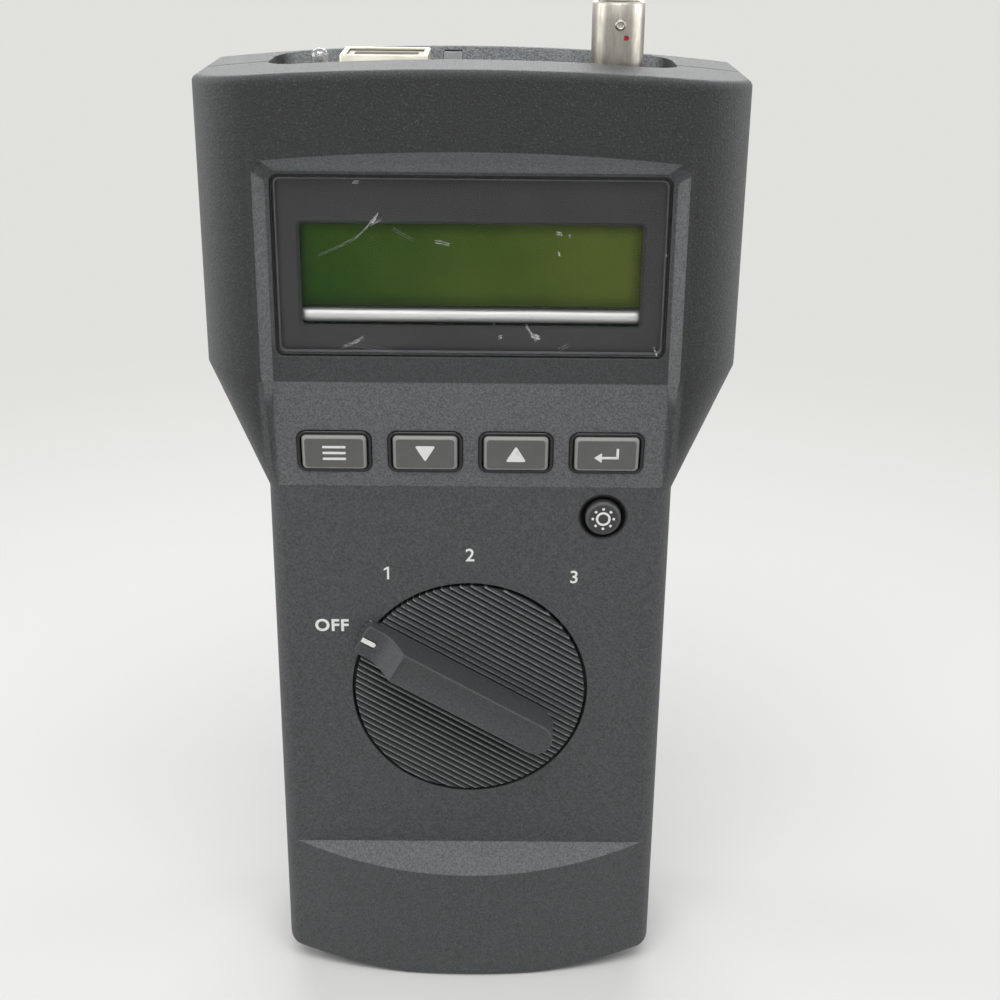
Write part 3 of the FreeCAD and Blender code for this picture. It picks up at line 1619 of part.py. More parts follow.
def make_battery_door():
    """Flush cover over the bay, with grip ribs and a sunk screw."""
    body = new_body("battery_door")
    half = "(%s + d.door_lap)" % BAY_HALF
    high = "(%s + d.door_head - d.bay_low + d.door_lap)" % BAY_HIGH
    face = sketch_on(body, "XZ_Plane")
    rectangle(face, "2 * %s" % half, high)
    pad(body, face, "d.door_thick")
    soften(body, "d.door_corner", along_y)
    screw_z = "d.bay_wall / 2 - d.door_head / 2 + %s / 2" % high
    steps = (
        ("d.screw_radius + 2 * d.hole_gap", "d.door_thick"),
        ("d.screw_head_radius + 2 * d.hole_gap", "d.door_screw_sink"),
    )
    for radius, depth in steps:
        hole = sketch_on(body, "XZ_Plane")
        circle(hole, radius, "0", screw_z)
        pocket(body, hole, depth, backwards=True)
    for i in range(5):
        groove = sketch_on(body, "XZ_Plane")
        rectangle(
            groove, "d.door_groove_length", "d.door_groove_width",
            "0", "%s / 2 - d.door_groove_drop - %d * d.door_groove_pitch" % (high, i),
        )
        pocket(body, groove, "d.door_rib", backwards=True)
    middle = "(d.bay_low - d.door_lap) + %s / 2" % high
    place(body, "0", REAR, middle)
    keep(body, "battery_door")
    seat = work_out(REAR) - size("door_screw_sink")
    held = screw(
        0, door_screw_spot(), seat, size("screw_radius"), size("screw_head_radius"),
        size("door_screw_sink") - size("cell_seat_gap"), size("door_screw_length"),
    )
    shaped("door_screw", held)


walls = case_solid()
shaped("front_case", make_front_case(walls))
shaped("rear_case", make_rear_case(walls))
shaped("case_screws", make_case_screws())
make_display()
make_keys()
make_knob_train()
make_main_board()
make_chips()
shaped("connector_panel", make_connector_panel())
make_jack()
make_coax()
make_indicator()
make_batteries()
make_battery_door()


def write_parts():
    """Check every object, then write one file for each sub-part."""
    doc.recompute()
    for thing in doc.Objects:
        if "Invalid" in thing.State or "Error" in thing.State:
            raise RuntimeError("%s failed: %s" % (thing.Name, thing.State))
    for part in SUBPARTS:
        if part.Shape.isNull() or not part.Shape.isValid():
            raise RuntimeError("%s has no valid shape" % part.Label)
    os.makedirs("parts", exist_ok=True)
    for part in SUBPARTS:
        part.Shape.exportStep("parts/%s.step" % part.Label)
        box_now = part.Shape.BoundBox
        print("%-22s solids %d  volume %9.1f  z %.1f..%.1f" % (
            part.Label, len(part.Shape.Solids), part.Shape.Volume, box_now.ZMin, box_now.ZMax))


write_parts()
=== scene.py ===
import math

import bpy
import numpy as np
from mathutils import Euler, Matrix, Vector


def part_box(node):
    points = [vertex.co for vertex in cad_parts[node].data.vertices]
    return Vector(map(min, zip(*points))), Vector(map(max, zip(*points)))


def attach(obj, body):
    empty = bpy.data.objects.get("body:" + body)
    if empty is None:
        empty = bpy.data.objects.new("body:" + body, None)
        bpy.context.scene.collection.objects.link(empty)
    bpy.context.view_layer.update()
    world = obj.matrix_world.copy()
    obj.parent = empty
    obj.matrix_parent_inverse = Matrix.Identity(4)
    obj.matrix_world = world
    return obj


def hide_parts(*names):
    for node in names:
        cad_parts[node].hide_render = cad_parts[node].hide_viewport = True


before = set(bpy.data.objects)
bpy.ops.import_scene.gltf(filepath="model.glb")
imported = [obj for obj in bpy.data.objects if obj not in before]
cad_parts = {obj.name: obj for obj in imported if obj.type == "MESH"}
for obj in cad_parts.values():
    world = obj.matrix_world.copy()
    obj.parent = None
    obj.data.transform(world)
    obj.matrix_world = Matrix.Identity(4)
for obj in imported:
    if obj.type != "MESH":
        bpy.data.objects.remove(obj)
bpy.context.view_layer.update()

# %% [markdown]
# # A handheld network cable tester
#
# The frame already holds every moulded, stamped and turned part at its real size. This lesson dresses
# it: each cell says what a piece is on the real tester, how it could be made, and why it is made this
# way. All lengths are metres, so a few millimetres are written as a number times `MM`.

MM = 0.001
face_y, sill_y = -12.8 * MM, -15.9 * MM  # front face of the grip, and the face below the display


def middle(node):
    """Centre of a node's box."""
    low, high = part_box(node)
    return np.array((low + high) / 2)


def span(node):
    """Width, depth and height of a node's box."""
    low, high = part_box(node)
    return np.array(high - low)


# %% [markdown]
# ## Meshes from arrays
#
# A surface is easiest to reason about as a grid: one parameter runs round a loop, the other from loop
# to loop. Numpy works out all points at once, and the faces are nothing but neighbouring indices. The
# helpers below turn stacks of loops into closed skins. Modelling by hand would give the same shapes, but
# a formula can be changed in one place.

# %% A mesh piece, and skins from stacks of loops
def new_piece(name, points, faces, finish, body, slot, crease=32.0):
    """Object from points (n, 3) and faces; edges sharper than `crease` degrees stay sharp."""
    mesh = bpy.data.meshes.new(name)
    mesh.from_pydata(np.asarray(points).reshape(-1, 3).tolist(), [], [list(map(int, f)) for f in faces])
    mesh.validate()
    mesh.polygons.foreach_set("use_smooth", np.ones(len(mesh.polygons), bool))
    mesh.set_sharp_from_angle(angle=math.radians(crease))
    mesh.materials.append(finish)
    piece = bpy.data.objects.new(name, mesh)
    bpy.context.scene.collection.objects.link(piece)
    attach(piece, body)
    return piece


def grid_faces(rows, columns, close_rows=False, close_columns=False):
    """Quads between neighbours of a grid of points stored row by row."""
    r = np.arange(rows if close_rows else rows - 1)
    c = np.arange(columns if close_columns else columns - 1)
    r, c = np.meshgrid(r, c, indexing="ij")
    r2, c2 = (r + 1) % rows, (c + 1) % columns
    quads = np.stack([r * columns + c, r * columns + c2, r2 * columns + c2, r2 * columns + c], -1)
    return quads.reshape(-1, 4).tolist()


def skin(loops, ring=False):
    """Points and faces of a stack of closed loops (k, n, 3), capped; a ring joins its ends instead."""
    loops = np.asarray(loops, float)
    count, around = loops.shape[:2]
    faces = grid_faces(count, around, close_rows=ring, close_columns=True)
    if not ring:
        faces.append(list(range(around))[::-1])
        faces.append(list(range((count - 1) * around, count * around)))
    return loops.reshape(-1, 3), faces


def wall_faces(rings):
    """Quads between neighbouring rings of point numbers."""
    faces = []
    for upper, lower in zip(rings[:-1], rings[1:]):
        faces += np.stack([upper, lower, np.roll(lower, -1), np.roll(upper, -1)], -1).tolist()
    return faces


def joined(parts):
    """One set of points and faces from several."""
    points, faces, start = [], [], 0
    for some_points, some_faces in parts:
        some_points = np.asarray(some_points).reshape(-1, 3)
        points.append(some_points)
        faces += [[i + start for i in face] for face in some_faces]
        start += len(some_points)
    return np.concatenate(points), faces


# %% Loops: rounded rectangles, circles and rounded polygons
def rounded_rectangle(width, height, radius, steps=6):
    """Loop (n, 2), anticlockwise: four quarter circles of the radius, one at each corner."""
    turn = np.linspace(0, math.pi / 2, steps + 1)
    loop = []
    for quarter, (sx, sy) in enumerate(((1, 1), (-1, 1), (-1, -1), (1, -1))):
        centre = np.array([sx * (width / 2 - radius), sy * (height / 2 - radius)])
        angle = turn + quarter * math.pi / 2
        loop.append(centre + radius * np.stack([np.cos(angle), np.sin(angle)], -1))
    return np.concatenate(loop)


def circle(radius, steps=64):
    """Loop (n, 2), anticlockwise: radius times cosine and sine of the turn."""
    angle = np.arange(steps) * 2 * math.pi / steps
    return radius * np.stack([np.cos(angle), np.sin(angle)], -1)


def rounded_polygon(corners, radius, steps=5):
    """Loop round a polygon whose corners are softened by curves tangent to both sides.

    Along each side the curve starts at radius / tan(half the corner's angle) from the corner.
    """
    corners = np.asarray(corners, float)
    before = np.roll(corners, 1, 0) - corners
    after = np.roll(corners, -1, 0) - corners
    before /= np.linalg.norm(before, axis=1, keepdims=True)
    after /= np.linalg.norm(after, axis=1, keepdims=True)
    t = np.linspace(0, 1, steps + 1)[None, :, None]
    half = np.arccos(np.clip((before * after).sum(1), -1, 1)) / 2
    reach = (radius / np.tan(half))[:, None, None]
    start = corners[:, None] + before[:, None] * reach
    end = corners[:, None] + after[:, None] * reach
    bend = (1 - t) ** 2 * start + 2 * t * (1 - t) * corners[:, None] + t ** 2 * end
    return bend.reshape(-1, 2)


class Seat:
    """Local frame on a face: across, up the face, and straight out of it."""

    def __init__(self, origin, out, across=(1, 0, 0)):
        self.origin = np.asarray(origin, float)
        self.out = np.asarray(out, float) / np.linalg.norm(out)
        self.across = np.asarray(across, float)
        self.up = np.cross(self.out, self.across)

    def place(self, loop, level=0.0):
        """Points of a loop (n, 2) at a level above the face."""
        loop = np.asarray(loop, float)
        return (
            self.origin + loop[..., :1] * self.across + loop[..., 1:2] * self.up
            + level * self.out
        )

    def lift(self, points):
        """Points (n, 3) given as across, up and out."""
        basis = np.stack([self.across, self.up, self.out])
        return self.origin + np.asarray(points, float) @ basis


def rounded_stack(seat, width, height, radius, profile, ease=0.0, smallest=0.0, steps=6):
    """Loops of one rounded rectangle, drawn in by each inset of a profile at its level.

    The corner radius shrinks by `ease` times the inset, but not below `smallest`.
    """
    loops = []
    for inset, level in profile:
        corner = max(radius - ease * inset, smallest)
        loop = rounded_rectangle(width - 2 * inset, height - 2 * inset, corner, steps)
        loops.append(seat.place(loop, level))
    return loops


def circle_stack(seat, profile, steps=64):
    """Loops of circles from pairs of radius and level; a radius of 0 becomes a hundredth."""
    return [seat.place(circle(max(radius, 0.01 * MM), steps), level) for radius, level in profile]


# %% [markdown]
# ## Shader maths in plain Python
#
# A finish is more than a colour: real plastic has grain, rubbed edges and dust. In Blender that comes
# from chains of small Math nodes. Wired by hand they are hard to read, so one class wraps a socket and
# lets Python's own operators add the nodes. `1 - mask` then means what it says.

# %% A field over a surface, and a finish that is built from fields
def toned(colour, share):
    """Colour made darker or paler by a number."""
    return tuple(c * share for c in colour)


class Field:
    """A number that changes over a surface: one output socket with Python's operators."""

    def __init__(self, finish, socket):
        self.finish, self.socket = finish, socket

    def maths(self, operation, first, second=0.0, clamp=False):
        settings = {"operation": operation, "use_clamp": clamp}
        node = self.finish.node("ShaderNodeMath", settings, (first, second))
        return Field(self.finish, node.outputs[0])

    def __add__(self, other): return self.maths("ADD", self, other)
    def __radd__(self, other): return self.maths("ADD", other, self)
    def __sub__(self, other): return self.maths("SUBTRACT", self, other)
    def __rsub__(self, other): return self.maths("SUBTRACT", other, self)
    def __mul__(self, other): return self.maths("MULTIPLY", self, other)
    def __rmul__(self, other): return self.maths("MULTIPLY", other, self)
    def __truediv__(self, other): return self.maths("DIVIDE", self, other)
    def __pow__(self, other): return self.maths("POWER", self, other)
    def __abs__(self): return self.maths("ABSOLUTE", self)
    def clamp(self): return self.maths("ADD", self, 0.0, clamp=True)
    def least(self, other): return self.maths("MINIMUM", self, other)
    def most(self, other): return self.maths("MAXIMUM", self, other)
    def root(self): return self.maths("SQRT", self)
    def fraction(self): return self.maths("FRACT", self)

    def between(self, low, high):
        """0 below low, 1 above high, and a smooth step from one to the other."""
        settings = {"interpolation_type": "SMOOTHSTEP"}
        node = self.finish.node("ShaderNodeMapRange", settings, (self, low, high, 0.0, 1.0))
        return Field(self.finish, node.outputs[0])

    def fades(self, low, high):
        """1 below low, 0 above high."""
        return 1 - self.between(low, high)

    def within(self, low, rise, fall, high):
        """1 from rise to fall, 0 outside low and high, smooth steps between."""
        return self.between(low, rise) * self.fades(fall, high)


class Finish:
    """A material: one Principled shader, and the nodes that feed it."""

    def __init__(self, name, colour, roughness, metallic=0.0, **constants):
        self.material = bpy.data.materials.new(name)
        self.material.use_nodes = True
        self.tree = self.material.node_tree
        self.shader = self.tree.nodes["Principled BSDF"]
        self.output = self.tree.nodes["Material Output"]
        self.set(Base_Color=(*colour, 1.0), Roughness=roughness, Metallic=metallic, **constants)
        self.coordinates = self.tree.nodes.new("ShaderNodeTexCoord").outputs["Object"]

    def set(self, **values):
        """Values or links for the shader's sockets, written with underscores for spaces."""
        for name, value in values.items():
            self.feed(self.shader.inputs[name.replace("_", " ")], value)

    def feed(self, socket, value):
        if isinstance(value, Field):
            self.tree.links.new(value.socket, socket)
        elif isinstance(value, bpy.types.NodeSocket):
            self.tree.links.new(value, socket)
        elif value is not None:
            socket.default_value = value

    def node(self, kind, settings=None, values=()):
        """A node of a type: its settings first, then the values or links of its sockets."""
        node = self.tree.nodes.new(kind)
        for name, value in (settings or {}).items():
            setattr(node, name, value)
        named = values.items() if isinstance(values, dict) else enumerate(values)
        for key, value in named:
            self.feed(node.inputs[key], value)
        return node

    def stretched(self, across=1.0, deep=1.0, up=1.0):
        """Object coordinates with each axis scaled, for streaks and brushing."""
        values = {"Vector": self.coordinates, "Scale": (across, deep, up)}
        return self.node("ShaderNodeMapping", None, values).outputs[0]

    def noise(self, grain, detail=2.0, roughness=0.5, vector=None):
        """Field of soft noise whose lumps are about `grain` metres across."""
        values = {"Vector": vector or self.coordinates, "Scale": 1 / grain, "Detail": detail,
                  "Roughness": roughness}
        return Field(self, self.node("ShaderNodeTexNoise", None, values).outputs["Fac"])

    def cells(self, grain):
        """Field of distances to scattered points about `grain` metres apart."""
        values = {"Vector": self.coordinates, "Scale": 1 / grain}
        return Field(self, self.node("ShaderNodeTexVoronoi", None, values).outputs["Distance"])

    def axis(self, letter):
        """Field of one object coordinate, in metres."""
        parts = self.node("ShaderNodeSeparateXYZ", None, (self.coordinates,))
        return Field(self, parts.outputs["XYZ".index(letter)])

    def mix(self, factor, first, second):
        """Colour that goes from the first to the second."""
        ends = [(*c, 1.0) if isinstance(c, tuple) else c for c in (first, second)]
        values = {0: factor, 6: ends[0], 7: ends[1]}
        return self.node("ShaderNodeMix", {"data_type": "RGBA"}, values).outputs[2]

    def edge(self, radius):
        """Normals rounded over a radius, and a field that is 1 where an edge is near."""
        soft = self.node("ShaderNodeBevel", {"samples": 4}, {"Radius": radius}).outputs[0]
        return soft, (1 - self.facing(soft)).between(0.01, 0.18)

    def dot(self, first, second):
        """Field of the dot product of two vectors, each a socket or three numbers."""
        node = self.node("ShaderNodeVectorMath", {"operation": "DOT_PRODUCT"}, (first, second))
        return Field(self, node.outputs["Value"])

    def facing(self, direction):
        """Field that is 1 where the surface faces a direction and 0 where it stands across it."""
        return self.dot(self.node("ShaderNodeNewGeometry").outputs["Normal"], direction)

    def scaled(self, colour, factor):
        """Colour made darker or paler by a field."""
        values = {"Vector": colour, "Scale": factor}
        return self.node("ShaderNodeVectorMath", {"operation": "SCALE"}, values).outputs[0]

    def over(self, other, cover):
        """Shows this finish where the field `cover` is 1, and another shader where it is 0."""
        values = {0: cover.clamp(), 1: other, 2: self.shader.outputs[0]}
        blend = self.node("ShaderNodeMixShader", None, values)
        self.tree.links.new(blend.outputs[0], self.output.inputs["Surface"])
        return self.material

    def bump(self, height, depth, normal=None):
        """Normal of a surface whose field `height` from 0 to 1 stands for `depth` metres."""
        values = {"Distance": depth, "Height": height, "Normal": normal}
        self.set(Normal=self.node("ShaderNodeBump", None, values).outputs[0])
        return self


# %% [markdown]
# ## Camera
#
# The camera stands in front of the tester and looks down on it by about 22 degrees, so that the top end
# with its sockets shows as a narrow bright strip. Its place and its three turns come from fitting
# the outlines of the window, the knob and the key row.

# %% Camera
camera_place = Vector((3.64, -291.0, 220.41)) * MM
look_down, lean, turn = 21.923, -0.589, -0.181
focal_pixels, frame_pixels, sensor_width = 1560.07, 1000, 36.0

camera_data = bpy.data.cameras.new("camera")
camera_data.sensor_width = sensor_width
camera_data.lens = sensor_width * focal_pixels / frame_pixels
camera_data.clip_start, camera_data.clip_end = 0.01, 20
camera = bpy.data.objects.new("camera", camera_data)
camera.rotation_euler = Euler([math.radians(a) for a in (90 - look_down, lean, turn)])
camera.location = camera_place
bpy.context.scene.collection.objects.link(camera)
bpy.context.scene.camera = camera
print("lens in millimetres:", round(camera_data.lens, 1))

# %% [markdown]
# ## Light and floor
#
# Matt dark plastic needs broad light: a small lamp would leave it black with one hot spot. A large
# panel high in front lights the face and what leans upwards, one behind glances off the top end, two
# walls brighten the sides and a weak panel in front fills the shadows. The room is white for the camera
# and for reflections, but a plain grey as light. Far from the tester the floor fades into an even
# backdrop, which only the camera sees.

# %% Room, lamps and floor
def world_light(level):
    """World that lights with a plain grey and shows white to the camera and in reflections."""
    world = bpy.data.worlds.new("room")
    bpy.context.scene.world = world
    world.use_nodes = True
    nodes, links = world.node_tree.nodes, world.node_tree.links
    background = nodes["Background"]
    rays = nodes.new("ShaderNodeLightPath").outputs

    def either(first, second):
        node = nodes.new("ShaderNodeMath")
        node.operation = "MAXIMUM"
        links.new(first, node.inputs[0])
        links.new(second, node.inputs[1])
        return node.outputs[0]

    shine = either(rays["Is Glossy Ray"], rays["Is Transmission Ray"])
    blend = nodes.new("ShaderNodeMix")
    blend.data_type = "RGBA"
    links.new(either(rays["Is Camera Ray"], shine), blend.inputs[0])
    blend.inputs[6].default_value = (level, level, level, 1)
    blend.inputs[7].default_value = (1, 1, 1, 1)
    links.new(blend.outputs[2], background.inputs["Color"])
    background.inputs["Strength"].default_value = 1.0


def panel_lamp(name, place, aim, width, height, power):
    """Soft rectangular lamp that faces a point."""
    data = bpy.data.lights.new(name, "AREA")
    data.shape, data.size, data.size_y, data.energy = "RECTANGLE", width, height, power
    lamp = bpy.data.objects.new(name, data)
    lamp.location = place
    lamp.rotation_euler = (Vector(aim) - Vector(place)).to_track_quat("-Z", "Y").to_euler()
    bpy.context.scene.collection.objects.link(lamp)


world_light(0.15)
panel_lamp("ceiling", (0, -0.45, 1.0), (0, 0, 0.1), 1.0, 0.5, 6.5)
panel_lamp("rear_glow", (0, 1.0, 0.62), (0, 0, 0.19), 1.3, 0.35, 6.0)
panel_lamp("left_wall", (-0.85, 0.0, 0.35), (0, 0, 0.12), 0.7, 0.6, 3.2)
panel_lamp("right_wall", (0.85, 0.0, 0.35), (0, 0, 0.12), 0.7, 0.6, 2.6)
panel_lamp("front_fill", (-0.2, -0.9, 0.7), (0, 0, 0.1), 0.9, 0.7, 2.0)

floor_finish = Finish("pale_floor", (0.78, 0.78, 0.77), 0.6)
floor_far = (floor_finish.axis("X") ** 2.0 + floor_finish.axis("Y") ** 2.0).root().between(0.14, 0.5)
seen_directly = Field(floor_finish, floor_finish.node("ShaderNodeLightPath").outputs["Is Camera Ray"])
backdrop = floor_finish.node("ShaderNodeEmission", None, {"Color": (0.75, 0.75, 0.72, 1.0)}).outputs[0]
floor_finish.over(backdrop, 1 - floor_far * seen_directly)
half = 3.0
floor_mesh = bpy.data.meshes.new("floor")
floor_mesh.from_pydata([(-half, -half, 0), (half, -half, 0), (half, half, 0), (-half, half, 0)], [],
                       [[0, 1, 2, 3]])
floor_mesh.materials.append(floor_finish.material)
floor = bpy.data.objects.new("floor", floor_mesh)
bpy.context.scene.collection.objects.link(floor)
bpy.context.scene.view_settings.view_transform = "Standard"

# %% [markdown]
# ## Moulded case
#
# The case is dark grey plastic from a spark-eroded mould: a fine grain over every face, and edges a
# touch brighter, partly where hands have rubbed them and partly as a painted highlight. Some regions
# get painted light or painted shade, and painted glints in the grain. Colour alone would look like
# cardboard. The grain is a bump from two noises, and the edges are rounded in the shading over a third
# of a millimetre.

# %% Case plastic
def grained_plastic(name, colour, roughness, grain=0.00036, depth=0.00006, contrast=0.42, worn=0.35,
                    regions=None):
    """Spark-eroded plastic: lumps from two noises tilt the surface, their tops are a little paler."""
    finish = Finish(name, colour, roughness, Specular_IOR_Level=0.4)
    soft, near_edge = finish.edge(0.00035)
    fine = finish.noise(grain, 2.0, 0.7)
    coarse = finish.noise(grain * 2.2, 2.0, 0.6)
    cloud = finish.noise(0.03, 2.0)
    lumps = (fine * 0.8 + coarse * 0.2).between(0.34, 0.66)
    dark, pale = toned(colour, 1 - contrast), toned(colour, 1 + contrast)
    # paler edges: partly wear from hands, partly a painted highlight
    worn_and_highlit_edge = tuple(min(1.0, c * 2.0 + 0.012) for c in colour)
    base = finish.mix((lumps * 0.85 + cloud * 0.15).clamp(), dark, pale)
    height = lumps
    if regions:
        # painted light scales the colour of each region, and painted glints add pale specks to the grain
        painted_light, relief, painted_glints = regions(finish)
        base = finish.scaled(base, painted_light)
        specks = fine.between(0.60, 0.72) * painted_glints
        base = finish.mix(specks, base, toned(colour, 2.6))
        height = lumps * relief
    # worn sets how pale the edges are painted: partly wear, partly a painted highlight
    finish.set(Base_Color=finish.mix(near_edge * worn, base, worn_and_highlit_edge))
    finish.set(Roughness=(roughness - 0.08 + 0.16 * coarse).clamp())
    return finish.bump(height, depth, soft).material


# %% Regions of the case
key_lean = (0, -0.98995, -0.14142)  # normal of the leaning key face
swell_lean = (0, -0.70711, 0.70711)  # normal of the crescent


def case_regions(finish):
    """Painted light, relief and painted glints of each region, from the place and the normal of the surface.

    Painted light multiplies the colour: painted shade darkens the head front and the sill, and painted
    light brightens the recess walls, the key face, the crescent, the sides and the rear wall of the
    connector recess. Painted glints are pale specks in the grain. Each mask is a product of smooth steps:
    one for how the face leans, the others for the slab of space that it lies in.
    """
    side, deep, up = abs(finish.axis("X")) / MM, finish.axis("Y") / MM, finish.axis("Z") / MM
    ahead = finish.facing((0, -1, 0))
    # front of the head, darkened as painted shade, with the display recess left out of it
    recess = side.fades(38.6, 39.4) * deep.between(-18.2, -17.4) * up.fades(176, 178)
    head = ahead.between(0.45, 0.98) * (1 - recess) * up.between(104, 124)
    # slanted walls of the display recess, brightened as painted light
    wall = ahead.within(0.58, 0.62, 0.69, 0.73) * side.fades(42.6, 43.6) * deep.fades(-15.75, -15.6)
    wall = wall * up.within(128, 131, 178, 180)
    # leaning key face, brightened as painted light, and the narrow sill between it and the window, darkened
    # as painted shade
    ramp = finish.facing(key_lean).between(0.9925, 0.998) * up.within(110.8, 111.4, 132.6, 133.2)
    ramp = ramp * side.fades(36.3, 37.0)
    sill = ahead.between(0.97, 0.995) * up.within(132.7, 133.1, 139.5, 140.5)
    sill = sill * side.fades(36.2, 36.6) * deep.fades(-15.7, -15.5)
    # crescent where the foot swells out, brightened as painted light, with painted glints
    crescent = finish.facing(swell_lean).between(0.94, 0.985)
    crescent = crescent * up.fades(31.5, 32.5) * deep.fades(-12.6, -12.0)
    # sides, and the rear wall of the connector recess, both brightened as painted light
    flank = ahead.within(-0.35, 0.0, 0.1, 0.4) * side.between(33, 35)
    flank = flank * finish.facing((0, 0, 1)).fades(0.5, 0.8)
    pit_wall = ahead.between(0.5, 0.9) * deep.between(8, 10) * up.between(183, 184)
    # painted light: below 1 is painted shade, above 1 is painted light, region by region
    painted_light = 1 - 0.72 * head + 1.1 * wall + 0.85 * ramp - 0.35 * sill + 1.5 * crescent + 0.6 * flank
    painted_light = painted_light + 5.0 * pit_wall
    relief = 1 + 0.3 * head - 0.5 * wall - 0.5 * ramp + 1.6 * crescent
    # painted glints: pale specks in the grain, most on the crescent and the head front
    painted_glints = (0.15 + 0.25 * head + 0.8 * crescent - 0.1 * wall - 0.1 * ramp).clamp()
    return painted_light, relief, painted_glints


case_plastic = grained_plastic("case_plastic", (0.060, 0.063, 0.065), 0.52, regions=case_regions)
panel_plastic = grained_plastic("panel_plastic", (0.060, 0.062, 0.064), 0.6, worn=0.2)
tab_plastic = grained_plastic("tab_plastic", (0.38, 0.385, 0.39), 0.4, depth=0.00002, contrast=0.15)
door_plastic = grained_plastic("door_plastic", (0.056, 0.059, 0.061), 0.55, grain=0.0005)

# %% [markdown]
# ## Print, rubber, glossy trim
#
# White print is ink pressed on by a pad: it is thin and a little uneven, so the plastic shows through in
# spots. Keys are rubbery and smoother than the case. The trim round them is polished black.

# %% Print, key caps and black trim
def pad_print(name, colour):
    """Ink with small thin spots where the plastic shows through."""
    finish = Finish(name, colour, 0.5)
    thin = finish.noise(0.00035, 3.0, 0.7).between(0.62, 0.78)
    worn = finish.noise(0.0016, 2.0).between(0.58, 0.75) * 0.25
    finish.set(Base_Color=finish.mix((thin * 0.35 + worn).clamp(), colour, (0.25, 0.25, 0.25)))
    return finish.bump(thin, 0.00001).material


def key_cap(name, colour, pale, out):
    """Smooth rubbery cap with a painted highlight: paler where its bevel leans away from the face."""
    finish = Finish(name, colour, 0.42, Specular_IOR_Level=0.35)
    level = finish.facing(out)
    rim = level.within(0.35, 0.7, 0.93, 0.995)
    grain = finish.noise(0.00035, 3.0, 0.6)
    cloud = finish.noise(0.004, 2.0)
    base = finish.mix((cloud * 0.5 + grain * 0.5).between(0.3, 0.7), toned(colour, 0.86), colour)
    # painted highlight along the rim of the bevel
    finish.set(Base_Color=finish.mix(rim * (0.55 + 0.45 * grain), base, pale))
    finish.set(Roughness=0.36 + 0.16 * cloud)
    return finish.bump(grain, 0.00001).material


def polished_black(name, colour, roughness):
    """Polished plastic with dust specks, and a painted highlight that makes its edges a little paler."""
    finish = Finish(name, colour, roughness)
    soft, near_edge = finish.edge(0.0002)
    dust = finish.noise(0.00022, 2.0, 0.6).between(0.68, 0.8)
    # dust specks, and edges painted paler as a highlight
    finish.set(Base_Color=finish.mix((dust * 0.5 + near_edge * 0.25).clamp(), colour, (0.10, 0.10, 0.10)))
    finish.set(Roughness=(roughness + dust * 0.4).clamp())
    return finish.bump(finish.noise(0.0012), 0.00001, soft).material


white_mark = pad_print("white_mark", (0.82, 0.82, 0.80))
key_rubber = key_cap("key_rubber", (0.125, 0.124, 0.118), (0.34, 0.34, 0.33), key_lean)
round_key_rubber = key_cap("round_key_rubber", (0.045, 0.046, 0.047), (0.09, 0.09, 0.09), (0, -1, 0))
surround_black = polished_black("surround_black", (0.006, 0.006, 0.007), 0.22)


def back_print(name, colour):
    """Ink on the back of the window: even, with faint clouds, and no shine of its own."""
    finish = Finish(name, colour, 0.5, Specular_IOR_Level=0.1)
    cloud, fine = finish.noise(0.012, 2.0), finish.noise(0.0004, 2.0)
    cover = (cloud * 0.7 + fine * 0.3).between(0.2, 0.8)
    finish.set(Base_Color=finish.mix(cover, toned(colour, 0.85), colour))
    return finish.bump(fine, 0.000001).material


def ribbed_plastic(name, colour, centre, across, pitch):
    """Knob plastic: painted shade in the valleys between the ribs, a painted highlight along one edge of each
    crest and on the bar's edges.
    """
    finish = Finish(name, colour, 0.5, Specular_IOR_Level=0.4)
    soft, near_edge = finish.edge(0.00018)
    values = (finish.coordinates, tuple(centre))
    place = finish.node("ShaderNodeVectorMath", {"operation": "SUBTRACT"}, values).outputs[0]
    phase = (finish.dot(place, tuple(across)) / pitch + 100.5).fraction()  # a crest on the middle
    fine = finish.noise(0.0003, 2.0, 0.7)
    painted_crest_highlight = phase.within(0.26, 0.34, 0.42, 0.52)
    painted_valley_shade = abs(phase - 0.5).between(0.30, 0.44)
    depth_mask = (finish.axis("Y") / MM).between(-13.35, -13.0)
    # painted shade darkens the valleys, and a painted highlight lightens one edge of each crest
    shade = finish.mix(painted_valley_shade * 0.9, toned(colour, 0.62), toned(colour, 0.15))
    shade = finish.mix(painted_crest_highlight * (0.35 + 0.65 * fine.between(0.35, 0.6)), shade, toned(colour, 7.0))
    plain = finish.mix(fine.between(0.35, 0.65), toned(colour, 0.75), toned(colour, 1.35))
    base = finish.mix(depth_mask, plain, shade)
    # painted highlight: the bar's edges are painted paler
    finish.set(Base_Color=finish.mix(near_edge * (1 - depth_mask), base, toned(colour, 5.0)))
    finish.set(Roughness=0.45 + 0.15 * fine)
    return finish.bump(fine, 0.00004, soft).material


mask_black = back_print("mask_black", (0.082, 0.082, 0.085))
knob_centre = np.array([0, face_y, 67.1 * MM])
knob_turn = math.radians(60)
pointer_up = np.array([-math.sin(knob_turn), 0, math.cos(knob_turn)])
rib_across = np.cross(pointer_up, (0, -1, 0))
rib_pitch = 1.19 * MM
knob_plastic = ribbed_plastic("knob_plastic", (0.050, 0.052, 0.054), knob_centre, rib_across, rib_pitch)

# %% [markdown]
# ## Metals
#
# Metal is told apart by its streaks. A drawn tube has bands along its length, a stamped spring has
# scratches across it. Noise whose coordinates are squeezed along one axis gives both, and only the
# direction and the base colour change from part to part.

